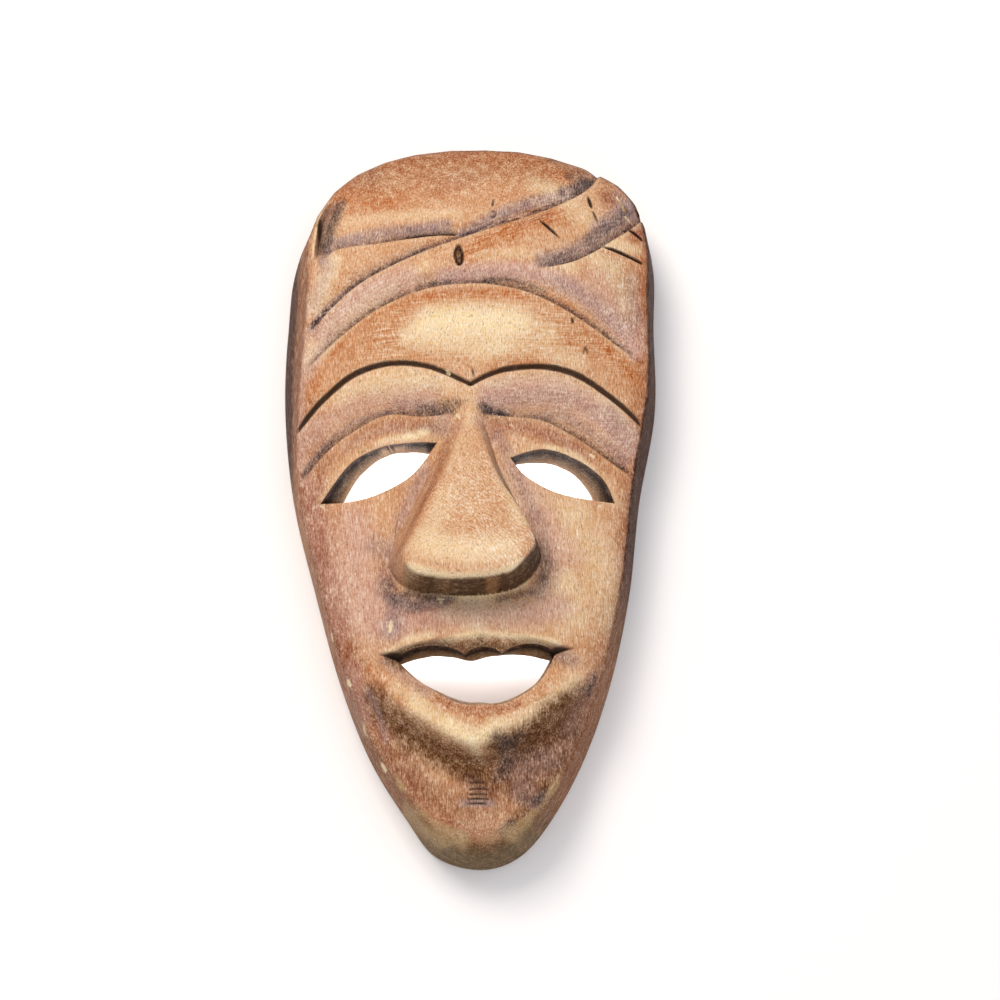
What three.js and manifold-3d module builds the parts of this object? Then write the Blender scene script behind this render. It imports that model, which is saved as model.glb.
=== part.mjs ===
// Carved wooden face mask: a long face with slit eyes, a wedge nose, an open mouth and a pointed
// chin, under a headwrap cut as overlapping folds. It is one piece of wood, hollow behind.
// Units are millimetres. The flat back rim lies on z = 0, +X is the viewer's right, +Y the top of
// the head, and +Z points out of the face. The origin is under the middle of the mask.

import * as THREE from 'three';
import Module from 'manifold-3d';

// Sizes that the rest is worked out from
const maskHeight = 300;
const maskWidth = 155;
const wallThickness = 13;
const rimWidth = 11;
const rimChamfer = 1.5;
const noseTipHeight = 67;
const browCutWidth = 2.4;
const browCutDepth = 1.7;
const slitDepth = 2;
const triangleGoal = 8600;

// Rim outline, anticlockwise from the viewer's right: x, y, how far the side wall leans in on its
// way up, and the radius of the rounded shoulder between wall and face
const rim = [
  [69.8, 0, 3, 4], [77, 39, 3.5, 4], [77.3, 75, 3.5, 4], [77, 107, 3.5, 4], [64.8, 130.5, 2.5, 4],
  [33.5, 145.5, 2, 4], [2, 150, 2, 5], [-31, 145.5, 2, 5], [-56.5, 130, 2.5, 4], [-73.8, 106, 7, 3],
  [-77.5, 75, 10, 3], [-77.7, 39, 8, 3], [-73, 0, 3, 3.5], [-63, -39, 2, 4], [-52.5, -75, 2, 4],
  [-40, -106, 2, 4], [-25, -130, 2, 5], [-13, -145, 2, 7], [4.5, -150, 1.5, 8],
  [20, -145, 2, 7], [33, -130, 2, 5], [46, -106, 2.5, 4], [57, -75, 3, 4], [65, -39, 3, 4],
];

// The plain dome under the carving, from chin to crown: y, height on the middle line, height at
// the sides, x of the middle line, and half the width that the cross-section arches over
const dome = [
  [-150, 27, 19, 4.5, 36], [-135, 35, 21, 4, 41], [-115, 41, 22, 3.3, 48], [-95, 46, 23, 2.7, 55],
  [-60, 46, 25, 1.6, 66], [-20, 43, 28, -0.6, 73], [15, 43, 30, -1, 76], [45, 47.5, 32, -0.4, 78],
  [75, 51.5, 33, 0, 79], [100, 49.5, 32, 0, 79], [125, 42.5, 29, 0, 77], [150, 30, 24, 0, 74],
];
const domePower = 2.3;

// Folds of the headwrap and the lids: the surface on the left of each line sinks towards it by
// drop over the ramp, and steps back up at the line. fade is the share of each end that dies out.
const folds = [
  {
    line: [[-62, 91.5], [-56.5, 95.7], [-50, 97], [-36, 97.3], [-23, 98.8], [-11, 100.3], [-4.5, 100]],
    drop: 2.6, ramp: 9, fade: [0.2, 0.08],
  },
  {
    line: [[-65, 61], [-57, 70], [-47, 78.5], [-35, 85], [-21, 91.5], [-6, 97.5], [12, 104.5],
      [29, 112], [40, 118.5], [48, 125.5], [53, 134], [56, 146]],
    drop: 3, ramp: 8, fade: [0.1, 0],
  },
  {
    line: [[-74, 36], [-65, 47], [-54.5, 56.5], [-42, 65.5], [-29, 72], [-14.5, 76.3], [0, 77.8],
      [12, 77], [24, 74.5], [35.5, 69.8], [48, 63], [58, 56.5], [65.5, 51.5], [71.5, 46]],
    drop: 3, ramp: 11, fade: [0.15, 0.15],
  },
  {
    line: [[26, 85], [33, 86.3], [42, 89.5], [50.5, 95], [57, 100.5], [64.5, 107], [72, 115]],
    drop: 3.6, ramp: 9, fade: [0.2, 0],
  },
  {
    line: [[-69, -2], [-58, 11], [-46, 19.5], [-33, 25], [-19, 24], [-7, 25]],
    drop: 3.6, ramp: 15, fade: [0.12, 0.12],
  },
  {
    line: [[4, 25], [16, 24], [30, 22.5], [44, 16], [56, 8], [67, 1]],
    drop: 3.6, ramp: 15, fade: [0.12, 0.12],
  },
  {
    line: [[-56.5, 120.5], [-60.3, 114.5], [-61.7, 108], [-62.6, 101], [-63.2, 91]],
    drop: 5, ramp: 9, fade: [0.25, 0.2],
  },
];
const foldStep = 1.1;

// Cuts with a V section: the two brow lines, the slits in the wrap and the corners of the mouth.
// fade is the share of the cut over which it dies out at its start and at its end.
const cuts = [
  {
    line: [[-74.5, 14.5], [-68, 22.3], [-59, 32], [-46, 41.3], [-31, 44.7], [-15, 42.6], [0.6, 35.8]],
    width: browCutWidth, depth: browCutDepth, fade: [0.15, 0.03],
  },
  {
    line: [[0.6, 36], [9, 40.2], [20, 42.7], [33, 43.1], [45, 40], [57, 32.8], [66, 26], [71.5, 20]],
    width: browCutWidth, depth: browCutDepth, fade: [0.03, 0.15],
  },
  { line: [[48.2, 122.3], [49.4, 118.2], [50.6, 113.2]], width: 2.2, depth: slitDepth, fade: [0.3, 0.3] },
  { line: [[29, 106.2], [33.5, 102], [38.2, 96.6]], width: 1.6, depth: slitDepth, fade: [0.3, 0.3] },
  { line: [[63, 108.4], [67, 105.3], [71.5, 102.5]], width: 2, depth: slitDepth, fade: [0.4, 0.2] },
  { line: [[53, 96], [62.5, 94.9], [71.5, 92.8]], width: 2.2, depth: slitDepth, fade: [0.4, 0.15] },
  { line: [[-4.8, 94.2], [-4.4, 90], [-4.1, 85.6]], width: 3, depth: slitDepth, fade: [0.3, 0.3] },
  { line: [[-36, -73], [-31, -73.5], [-25, -73.6]], width: 3.4, depth: 4, fade: [0.6, 0.5] },
  { line: [[30, -71.8], [37, -71], [45, -69.8]], width: 3.4, depth: 4, fade: [0.5, 0.6] },
];

// The ridge that runs round the lower lip, and the hollow cut below it
const lipRidge = [
  [-40, -80], [-30, -88], [-18, -96.5], [-7, -103.5], [3, -107], [12, -105], [22, -100], [34, -91],
  [44, -82], [50, -74],
];
const lipHollow = { depth: 6, fall: 10, rise: 24, fade: 0.22 };

// Nose: where its sides meet the face, and the edge of its broad front
const noseFoot = [
  [-3, 29], [-5.5, 24], [-9, 18.5], [-12.5, 8], [-18, -5], [-23, -15.5], [-27.8, -26], [-31, -34],
  [-30.5, -39.8], [-25.5, -46], [-18, -49.3], [-8, -50.5], [1, -50.6], [9, -50], [19, -47],
  [25.5, -41.5], [28.2, -34], [25, -24.5], [18.5, -12], [12, 1], [8.3, 12], [5.8, 20], [4, 29],
];
const noseFront = [
  [-0.5, 27], [-2.5, 19], [-5, 10], [-7.8, 1.5], [-11.5, -6.5], [-15.5, -14.7], [-19.5, -25],
  [-22.9, -35], [-24.5, -41.5], [-20.7, -46.8], [-14, -48.8], [-7, -49.7], [0, -49.8], [7.2, -49.2],
  [13, -47.9], [17.8, -46], [23.7, -38.4], [25.6, -32.5], [20, -19.3], [12, -5.5], [7, 8.3],
  [3.5, 20], [1.5, 27],
];
const noseRidge = [
  [-52, noseTipHeight - 1], [-42, noseTipHeight], [-20, 59], [0, 52], [20, 47], [30, 45],
];
const noseRoundness = 2.5;
const noseDish = { depth: 2.2, reach: 6 };

// Through holes: the edge on the face, then the edge where the cut comes out behind. Each edge
// runs anticlockwise from the left corner along the bottom to the right corner and back.
const leftEye = {
  frontLower: [[-59.4, -10.6], [-48, -10.9], [-36, -8.3], [-23, -0.9], [-12.8, 13]],
  frontUpper: [[-12.8, 13], [-24, 12.6], [-36, 11], [-48, 4.6], [-59.4, -10.6]],
  backLower: [[-52, -7], [-45, -8], [-34, -5.5], [-22, 2], [-16, 11.8]],
  backUpper: [[-16, 11.8], [-25, 12.6], [-34, 11.2], [-44, 4.4], [-52, -7]],
};
const rightEye = {
  frontLower: [[16.3, 6.4], [21.5, -0.3], [32, -6.7], [45, -9.6], [58, -10.4]],
  frontUpper: [[58, -10.4], [53.5, -1], [43.5, 6.3], [30, 10.2], [16.3, 6.4]],
  backLower: [[18.5, 7.4], [25, 0], [33, -4.5], [43, -7], [51, -8]],
  backUpper: [[51, -8], [48, -1.2], [40.5, 5.4], [30.5, 8.4], [18.5, 7.4]],
};
const mouth = {
  frontLower: [[-29, -74], [-20, -83], [-5, -92], [5, -93], [15, -92], [27, -84], [34, -72]],
  frontUpper: [[34, -72], [29, -69.6], [23.5, -68.8], [17.5, -69.7], [13, -72.4], [9.5, -70.9],
    [5.7, -70.3], [2, -70.9], [-1.4, -73.3], [-6, -71], [-13, -69.6], [-21, -70.8], [-29, -74]],
  backLower: [[-27, -74], [-18, -82.5], [-4, -89.5], [4.5, -90.5], [13.5, -90], [25.5, -83], [32, -72.5]],
  backUpper: [[32, -72.5], [20, -71.4], [9, -72.4], [1, -74.2], [-7, -72.6], [-16, -72.2], [-27, -74]],
};
const mouthLipDip = 5;
const mouthLipReach = 14;

const clamp = (value, low, high) => Math.min(high, Math.max(low, value));

function smoothStep(from, to, value) {
  const t = clamp((value - from) / (to - from), 0, 1);
  return t * t * (3 - 2 * t);
}

// Point on a Catmull-Rom spline through the knots, t running from 0 to 1 along them
function splineAt(knots, t, closed = false) {
  const count = knots.length;
  const spans = closed ? count : count - 1;
  const place = clamp(t, 0, 1) * spans;
  const span = Math.min(Math.floor(place), spans - 1);
  const w = place - span;
  const knot = (i) => (closed ? knots[(i + count) % count] : knots[clamp(i, 0, count - 1)]);
  const [a, b, c, d] = [knot(span - 1), knot(span), knot(span + 1), knot(span + 2)];
  return b.map((value, k) => {
    const tangentIn = (c[k] - a[k]) / 2;
    const tangentOut = (d[k] - value) / 2;
    const rise = c[k] - value;
    return value + w * (tangentIn + w * (3 * rise - 2 * tangentIn - tangentOut
      + w * (tangentIn + tangentOut - 2 * rise)));
  });
}

function splinePoints(knots, count, closed = false) {
  const last = closed ? count : count - 1;
  return Array.from({ length: count }, (_, i) => splineAt(knots, i / last, closed));
}

// Row of a table whose first column is y, read between its rows by a smooth curve
function tableAt(rows, y) {
  const last = rows.length - 1;
  let row = 0;
  while (row < last - 1 && rows[row + 1][0] < y) row += 1;
  const w = clamp((y - rows[row][0]) / (rows[row + 1][0] - rows[row][0]), 0, 1);
  return splineAt(rows, (row + w) / last);
}

// Distance from (x, y) to a line of points, positive on the left of its course, and the share of
// the line's course at the nearest point
function nearest(points, x, y, closed = false) {
  const spans = closed ? points.length : points.length - 1;
  let best = Infinity;
  let side = 1;
  let share = 0;
  for (let i = 0; i < spans; i += 1) {
    const [ax, ay] = points[i];
    const [bx, by] = points[(i + 1) % points.length];
    const [ex, ey] = [bx - ax, by - ay];
    const w = clamp(((x - ax) * ex + (y - ay) * ey) / (ex * ex + ey * ey), 0, 1);
    const [dx, dy] = [x - ax - w * ex, y - ay - w * ey];
    const distance = dx * dx + dy * dy;
    if (distance < best) {
      best = distance;
      side = ex * dy - ey * dx >= 0 ? 1 : -1;
      share = (i + w) / spans;
    }
  }
  return { distance: Math.sqrt(best) * side, share };
}

function isInside(points, x, y) {
  let inside = false;
  points.forEach(([ax, ay], i) => {
    const [bx, by] = points[(i + 1) % points.length];
    if (ay > y !== by > y && x < ax + ((y - ay) * (bx - ax)) / (by - ay)) inside = !inside;
  });
  return inside;
}

// Lines and outlines as points, worked out once
const lineDetail = 5;
const asPoints = (line) => splinePoints(line, (line.length - 1) * lineDetail + 1);
const foldLines = folds.map((fold) => ({ ...fold, points: asPoints(fold.line) }));
const cutLines = cuts.map((cut) => ({ ...cut, points: asPoints(cut.line) }));
const ridgePoints = asPoints(lipRidge);
const footPoints = splinePoints(noseFoot, noseFoot.length * 3, true);
const frontPoints = splinePoints(noseFront, noseFront.length * 3, true);
const holeDetail = 18;
const edgePoints = (lower, upper) => [
  ...splinePoints(lower, holeDetail + 1).slice(0, -1),
  ...splinePoints(upper, holeDetail + 1).slice(0, -1),
];
const mouthEdge = edgePoints(mouth.frontLower, mouth.frontUpper);

function domeHeight(x, y) {
  const [, middle, side, middleX, halfWidth] = tableAt(dome, y);
  const across = Math.min(1.15, Math.abs(x - middleX) / halfWidth);
  return side + (middle - side) * (1 - across ** domePower);
}

const fadeIn = (share, fade) => (fade > 0 ? smoothStep(0, fade, share) : 1);

function foldSink(fold, x, y) {
  const { distance, share } = nearest(fold.points, x, y);
  const ends = fadeIn(share, fold.fade[0]) * fadeIn(1 - share, fold.fade[1]);
  if (share <= 0 || share >= 1) return 0;
  const ramp = clamp(1 - distance / fold.ramp, 0, 1) ** 1.7;
  const step = clamp(1 + distance / foldStep, 0, 1);
  return fold.drop * ends * (distance >= 0 ? ramp : step);
}

function cutSink(cut, x, y) {
  const { distance, share } = nearest(cut.points, x, y);
  const ends = fadeIn(share, cut.fade[0]) * fadeIn(1 - share, cut.fade[1]);
  const half = (cut.width / 2) * (0.35 + 0.65 * ends);
  return cut.depth * ends * clamp(1 - Math.abs(distance) / half, 0, 1);
}

// The lower lip stands on a ridge: the chin sinks quickly below it and rises again slowly
function chinSink(x, y) {
  const { distance, share } = nearest(ridgePoints, x, y);
  const below = -distance;
  if (below <= 0) return 0;
  const ends = smoothStep(0, lipHollow.fade, share) * smoothStep(0, lipHollow.fade, 1 - share);
  const fall = smoothStep(0, lipHollow.fall, below);
  const rise = smoothStep(lipHollow.fall, lipHollow.fall + lipHollow.rise, below);
  return lipHollow.depth * ends * fall * (1 - rise);
}

// The lips sink towards the mouth: gently over the lower lip, in a short roll on the upper one
function lipSink(x, y) {
  const away = Math.abs(nearest(mouthEdge, x, y, true).distance);
  const outside = isInside(mouthEdge, x, y) ? 0 : away;
  const lower = mouthLipDip * clamp(1 - outside / mouthLipReach, 0, 1) ** 1.4;
  const upper = 3 * clamp(1 - outside / 5, 0, 1) ** 2;
  const share = smoothStep(-80, -72, y);
  return lower * (1 - share) + upper * share;
}

// The nose rises from its foot to its front face, which is slightly rounded
function withNose(height, x, y) {
  const foot = Math.abs(nearest(footPoints, x, y, true).distance);
  if (!isInside(footPoints, x, y)) {
    const dish = noseDish.depth * Math.exp(-((foot / noseDish.reach) ** 2));
    return height - dish * smoothStep(26, 14, y);
  }
  const front = Math.abs(nearest(frontPoints, x, y, true).distance);
  const onFront = isInside(frontPoints, x, y);
  const [, ridge] = tableAt(noseRidge, y);
  const edge = clamp(1 - (onFront ? front : 0) / noseRoundness, 0, 1);
  const top = ridge - 0.004 * (x - 1) ** 2 - edge ** 2;
  const share = onFront ? 1 : foot / (foot + front);
  return height + (top - height) * share;
}

// Height of the carved face above the rim
function faceHeight(x, y) {
  const folded = foldLines.reduce((sum, fold) => sum + foldSink(fold, x, y), 0);
  const cut = cutLines.reduce((sum, line) => sum + cutSink(line, x, y), 0);
  const lips = chinSink(x, y) + lipSink(x, y);
  return withNose(domeHeight(x, y) - folded - lips, x, y) - cut;
}

// Height of the hollow's roof: the dome less the wall, with a scoop behind the nose
function roofHeight(x, y) {
  const scoop = 9 * Math.exp(-((x / 14) ** 2) - ((y + 30) / 20) ** 2);
  return domeHeight(x, y) - wallThickness + scoop;
}

// Point of the rim outline at an angle, moved inwards by a distance
function rimPoint(angle, inwards) {
  const turn = angle / (2 * Math.PI);
  const [x, y, lean, radius] = splineAt(rim, turn, true);
  const [ax, ay] = splineAt(rim, (turn + 0.999) % 1, true);
  const [bx, by] = splineAt(rim, (turn + 0.001) % 1, true);
  const length = Math.hypot(bx - ax, by - ay);
  const distance = inwards(lean, radius);
  return [x - ((by - ay) / length) * distance, y + ((bx - ax) / length) * distance, lean, radius];
}

// Closed shell over a rounded outline: a grid bent to fill the outline, rings down from its edge
// and a flat underside. place(angle) gives the outline, rings(angle) the points below its edge.
function shell(columns, rows, place, height, rings) {
  const points = [];
  const triangles = [];
  const angleOf = (a, b) => (Math.atan2(b, a) + 2 * Math.PI) % (2 * Math.PI);
  const spread = (k, count) => {
    const s = (2 * k) / count - 1;
    return s * (1.2 - 0.2 * s * s);
  };
  const angles = [];
  for (let j = 0; j <= rows; j += 1) {
    for (let i = 0; i <= columns; i += 1) {
      const [s, t] = [spread(i, columns), spread(j, rows)];
      const [a, b] = [s * Math.sqrt(1 - (t * t) / 2), t * Math.sqrt(1 - (s * s) / 2)];
      const reach = Math.hypot(a, b);
      const angle = angleOf(a, b);
      const [x, y] = place(angle).map((value) => value * reach);
      points.push([x, y, height(x, y, reach)]);
      angles.push(angle);
    }
  }
  const at = (i, j) => j * (columns + 1) + i;
  for (let j = 0; j < rows; j += 1) {
    for (let i = 0; i < columns; i += 1) {
      triangles.push([at(i, j), at(i + 1, j), at(i + 1, j + 1)]);
      triangles.push([at(i, j), at(i + 1, j + 1), at(i, j + 1)]);
    }
  }
  const edge = [];
  for (let i = 0; i < columns; i += 1) edge.push(at(i, 0));
  for (let j = 0; j < rows; j += 1) edge.push(at(columns, j));
  for (let i = columns; i > 0; i -= 1) edge.push(at(i, rows));
  for (let j = rows; j > 0; j -= 1) edge.push(at(0, j));
  let upper = edge;
  const columnsDown = edge.map((index) => rings(angles[index]));
  for (let ring = 0; ring < columnsDown[0].length; ring += 1) {
    const lower = columnsDown.map((column) => points.push(column[ring]) - 1);
    upper.forEach((start, k) => {
      const next = (k + 1) % edge.length;
      triangles.push([lower[k], lower[next], upper[next]], [lower[k], upper[next], start]);
    });
    upper = lower;
  }
  const centre = points.push([0, 0, points[upper[0]][2]]) - 1;
  upper.forEach((index, k) => triangles.push([centre, upper[(k + 1) % upper.length], index]));
  return { points, triangles };
}

// The block with the carved front, its rounded shoulder and its side wall
function carvedBlock() {
  const shoulder = (angle) => rimPoint(angle, (lean, radius) => lean + radius).slice(0, 2);
  const rings = (angle) => {
    const column = [];
    const [, , , radius] = rimPoint(angle, () => 0);
    const roundSteps = 4;
    for (let k = 1; k <= roundSteps; k += 1) {
      const turn = (k / roundSteps) * (Math.PI / 2);
      const [x, y] = rimPoint(angle, (lean) => lean + radius * (1 - Math.sin(turn)));
      column.push([x, y, faceHeight(x, y) - radius * (1 - Math.cos(turn))]);
    }
    const wallTop = column[column.length - 1][2];
    const wallSteps = 4;
    for (let k = 1; k <= wallSteps; k += 1) {
      const share = k / wallSteps;
      const [x, y] = rimPoint(angle, (lean) => lean * (1 - share) ** 1.3);
      column.push([x, y, wallTop + (rimChamfer - wallTop) * share]);
    }
    const [x, y] = rimPoint(angle, () => rimChamfer);
    column.push([x, y, 0]);
    return column;
  };
  return shell(160, 300, shoulder, faceHeight, rings);
}

// What is hollowed out behind, from under the rim up to the roof
function hollow() {
  const below = -6;
  const place = (angle) => rimPoint(angle, () => rimWidth).slice(0, 2);
  const height = (x, y, reach) => roofHeight(x, y) * Math.sqrt(1 - clamp(reach, 0, 1) ** 7);
  return shell(44, 84, place, height, (angle) => [[...place(angle), below]]);
}

// What is cut out for an eye or the mouth: straight down to the face, then sloping to its back edge
function throughCut(hole) {
  const front = edgePoints(hole.frontLower, hole.frontUpper);
  const back = edgePoints(hole.backLower, hole.backUpper);
  const bevel = 0.25;
  const middle = front.map(([x, y], i) => [x + (back[i][0] - x) * bevel, y + (back[i][1] - y) * bevel]);
  const levels = [
    front.map(([x, y]) => [x, y, noseTipHeight + 20]),
    front.map(([x, y]) => [x, y, faceHeight(x, y) - 1]),
    middle.map(([x, y], i) => [x, y, faceHeight(...front[i]) - 4]),
    back.map(([x, y]) => [x, y, roofHeight(x, y)]),
    back.map(([x, y]) => [x, y, -6]),
  ];
  const count = front.length;
  const points = levels.flat();
  const triangles = [];
  levels.slice(1).forEach((_, level) => {
    const [upper, lower] = [level * count, (level + 1) * count];
    for (let k = 0; k < count; k += 1) {
      const next = (k + 1) % count;
      triangles.push([lower + k, lower + next, upper + next], [lower + k, upper + next, upper + k]);
    }
  });
  const middleOf = (loop) => [0, 1, 2].map((axis) => (
    loop.reduce((sum, point) => sum + point[axis], 0) / count
  ));
  const top = points.push(middleOf(levels[0])) - 1;
  const bottom = points.push(middleOf(levels[levels.length - 1])) - 1;
  const lowest = (levels.length - 1) * count;
  for (let k = 0; k < count; k += 1) {
    const next = (k + 1) % count;
    triangles.push([top, k, next], [bottom, lowest + next, lowest + k]);
  }
  return { points, triangles };
}

// Thins a closed mesh to a goal by closing up, one after another, the edges that matter least. Each
// point carries the sum of the squared distances to the planes it has stood for.
function thinned({ points, triangles }, goal) {
  const place = points.map((point) => new THREE.Vector3(...point));
  const planes = place.map(() => new Float64Array(10));
  const around = place.map(() => new Set());
  const faces = triangles.map((corners) => [...corners]);
  const version = new Int32Array(place.length);
  const normal = (a, b, c) => b.clone().sub(a).cross(c.clone().sub(a));

  faces.forEach(([a, b, c], index) => {
    const across = normal(place[a], place[b], place[c]);
    const area = across.length() / 2;
    if (area > 1e-12) across.normalize();
    const { x, y, z } = across;
    const d = -across.dot(place[a]);
    const terms = [x * x, x * y, x * z, x * d, y * y, y * z, y * d, z * z, z * d, d * d];
    [a, b, c].forEach((corner) => {
      terms.forEach((term, k) => { planes[corner][k] += area * term; });
      around[corner].add(index);
    });
  });

  const error = (q, { x, y, z }) => q[0] * x * x + q[4] * y * y + q[7] * z * z + q[9]
    + 2 * (q[1] * x * y + q[2] * x * z + q[3] * x + q[5] * y * z + q[6] * y + q[8] * z);

  const heap = [];
  const swap = (i, j) => { [heap[i], heap[j]] = [heap[j], heap[i]]; };
  const push = (entry) => {
    let i = heap.push(entry) - 1;
    while (i > 0 && heap[i].cost < heap[(i - 1) >> 1].cost) {
      swap(i, (i - 1) >> 1);
      i = (i - 1) >> 1;
    }
  };
  const pop = () => {
    swap(0, heap.length - 1);
    const entry = heap.pop();
    let i = 0;
    for (;;) {
      const [left, right] = [2 * i + 1, 2 * i + 2];
      let least = i;
      if (left < heap.length && heap[left].cost < heap[least].cost) least = left;
      if (right < heap.length && heap[right].cost < heap[least].cost) least = right;
      if (least === i) return entry;
      swap(i, least);
      i = least;
    }
  };

  const offer = (a, b) => {
    const q = planes[a].map((term, k) => term + planes[b][k]);
    const choices = [place[a].clone(), place[b].clone(), place[a].clone().lerp(place[b], 0.5)];
    const costs = choices.map((choice) => Math.max(0, error(q, choice)));
    const pick = costs.indexOf(Math.min(...costs));
    const length = place[a].distanceTo(place[b]);
    const cost = costs[pick] + 1e-5 * length * length;
    push({ cost, a, b, target: choices[pick], seen: version[a] + version[b] });
  };
  const beside = (v) => new Set([...around[v]].flatMap((index) => faces[index]).filter((w) => w !== v));
  const shape = (a, b, c) => {
    const sides = a.distanceToSquared(b) + b.distanceToSquared(c) + c.distanceToSquared(a);
    return normal(a, b, c).length() / sides;
  };

  // Moving v to the target mustn't turn a face over or leave it as a needle
  const spoils = (v, other, target) => [...around[v]].some((index) => {
    const corners = faces[index];
    if (corners.includes(other)) return false;
    const before = corners.map((corner) => place[corner]);
    const after = corners.map((corner) => (corner === v ? target : place[corner]));
    const [old, now] = [normal(...before), normal(...after)];
    if (old.dot(now) < 0.3 * old.length() * now.length()) return true;
    return shape(...after) < 0.04 && shape(...after) < shape(...before);
  });

  faces.forEach(([a, b, c]) => [[a, b], [b, c], [c, a]].forEach(([v, w]) => v < w && offer(v, w)));
  let left = faces.length;
  while (left > goal && heap.length > 0) {
    const { a, b, target, seen } = pop();
    const alive = around[a].size > 0 && around[b].size > 0;
    if (!alive || seen !== version[a] + version[b]) continue;
    const shared = [...around[a]].filter((index) => around[b].has(index));
    const common = [...beside(a)].filter((v) => beside(b).has(v));
    if (shared.length !== 2 || common.length !== 2) continue;
    if (spoils(a, b, target) || spoils(b, a, target)) continue;
    shared.forEach((index) => faces[index].forEach((corner) => around[corner].delete(index)));
    shared.forEach((index) => { faces[index] = null; });
    left -= 2;
    around[b].forEach((index) => {
      faces[index] = faces[index].map((corner) => (corner === b ? a : corner));
      around[a].add(index);
    });
    around[b].clear();
    place[a].copy(target);
    planes[b].forEach((term, k) => { planes[a][k] += term; });
    version[a] += 1;
    version[b] += 1;
    beside(a).forEach((v) => {
      version[v] += 1;
    });
    const ring = beside(a);
    ring.forEach((v) => beside(v).forEach((w) => {
      if (v < w || !ring.has(w)) offer(Math.min(v, w), Math.max(v, w));
    }));
  }

  const kept = new Map();
  const flat = [];
  const indices = faces.filter(Boolean).flat().map((corner) => {
    if (!kept.has(corner)) {
      kept.set(corner, kept.size);
      flat.push(...place[corner].toArray());
    }
    return kept.get(corner);
  });
  const geometry = new THREE.BufferGeometry();
  geometry.setAttribute('position', new THREE.Float32BufferAttribute(flat, 3));
  geometry.setIndex(indices);
  geometry.computeVertexNormals();
  return geometry;
}

const wasm = await Module();
wasm.setup();

const asSolid = ({ points, triangles }) => new wasm.Manifold(new wasm.Mesh({
  numProp: 3,
  vertProperties: new Float32Array(points.flat()),
  triVerts: new Uint32Array(triangles.flat()),
}));

// The whole mask: the carved block less the hollow behind and the three openings
function maskGeometry() {
  const removed = [hollow(), throughCut(leftEye), throughCut(rightEye), throughCut(mouth)];
  const cutBody = removed.reduce((body, cut) => body.subtract(asSolid(cut)), asSolid(carvedBlock()));
  const { vertProperties, triVerts } = cutBody.getMesh();
  const points = [];
  for (let i = 0; i < vertProperties.length; i += 3) points.push([...vertProperties.slice(i, i + 3)]);
  const triangles = [];
  for (let i = 0; i < triVerts.length; i += 3) triangles.push([...triVerts.slice(i, i + 3)]);
  return thinned({ points, triangles }, triangleGoal);
}

// Centres the mask on the origin and brings it to its exact height and width
function fitted(geometry) {
  geometry.computeBoundingBox();
  const { min, max } = geometry.boundingBox;
  geometry.translate(-(min.x + max.x) / 2, -(min.y + max.y) / 2, -min.z);
  geometry.scale(maskWidth / (max.x - min.x), maskHeight / (max.y - min.y), 1);
  return geometry;
}

const carvedWood = new THREE.MeshStandardMaterial({
  name: 'carved_wood', color: 0xa8714a, roughness: 0.55, metalness: 0,
});
const mask = new THREE.Mesh(fitted(maskGeometry()), carvedWood);
mask.name = 'mask';

const group = new THREE.Group();
group.add(mask);

export default group;
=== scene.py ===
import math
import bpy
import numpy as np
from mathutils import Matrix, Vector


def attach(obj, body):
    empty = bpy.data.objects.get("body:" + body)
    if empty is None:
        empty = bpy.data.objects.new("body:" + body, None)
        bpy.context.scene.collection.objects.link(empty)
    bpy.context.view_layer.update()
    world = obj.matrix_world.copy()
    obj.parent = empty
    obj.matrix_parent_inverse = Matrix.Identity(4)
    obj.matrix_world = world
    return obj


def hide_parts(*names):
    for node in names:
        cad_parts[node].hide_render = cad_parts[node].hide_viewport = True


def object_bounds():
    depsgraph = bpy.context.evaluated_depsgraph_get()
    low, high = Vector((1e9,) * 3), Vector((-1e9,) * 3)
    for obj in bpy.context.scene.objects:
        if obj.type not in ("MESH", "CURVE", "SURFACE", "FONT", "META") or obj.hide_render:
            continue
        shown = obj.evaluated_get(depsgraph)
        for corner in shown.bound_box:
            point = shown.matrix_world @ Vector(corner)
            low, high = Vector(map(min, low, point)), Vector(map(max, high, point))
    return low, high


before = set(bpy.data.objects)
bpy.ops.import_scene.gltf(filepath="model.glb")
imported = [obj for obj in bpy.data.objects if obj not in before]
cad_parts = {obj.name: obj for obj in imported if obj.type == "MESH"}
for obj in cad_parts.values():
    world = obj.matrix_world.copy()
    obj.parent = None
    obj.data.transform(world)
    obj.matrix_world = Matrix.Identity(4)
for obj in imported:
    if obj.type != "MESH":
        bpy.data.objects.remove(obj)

# A carved wooden face mask, lying on its back rim on a pale floor.
# The carving is worked out in millimetres and turned to metres at the end: +X is the viewer's
# right, +Y the top of the head and +Z points out of the face.

cadLow, cadHigh = [tuple(corner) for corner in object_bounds()]
print("frame loaded, box", [round(1000 * (h - l), 1) for l, h in zip(cadLow, cadHigh)], "mm")


# Curves, distances and soft noise that the carving uses

def smoothStep(start, end, value):
    t = np.clip((value - start) / (end - start), 0, 1)
    return t * t * (3 - 2 * t)


def splineAt(knots, t, closed=False):
    # point of a Catmull-Rom curve through the knots, t from 0 to 1 along it
    knots = np.asarray(knots, float)
    count = len(knots)
    spans = count if closed else count - 1
    place = np.clip(np.asarray(t, float), 0, 1) * spans
    span = np.minimum(place.astype(int), spans - 1)
    w = (place - span)[..., None]
    pick = (lambda k: knots[k % count]) if closed else (lambda k: knots[np.clip(k, 0, count - 1)])
    a, b, c, d = pick(span - 1), pick(span), pick(span + 1), pick(span + 2)
    tangentIn, tangentOut, rise = (c - a) / 2, (d - b) / 2, c - b
    return b + w * (tangentIn + w * (3 * rise - 2 * tangentIn - tangentOut
                                     + w * (tangentIn + tangentOut - 2 * rise)))


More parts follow.
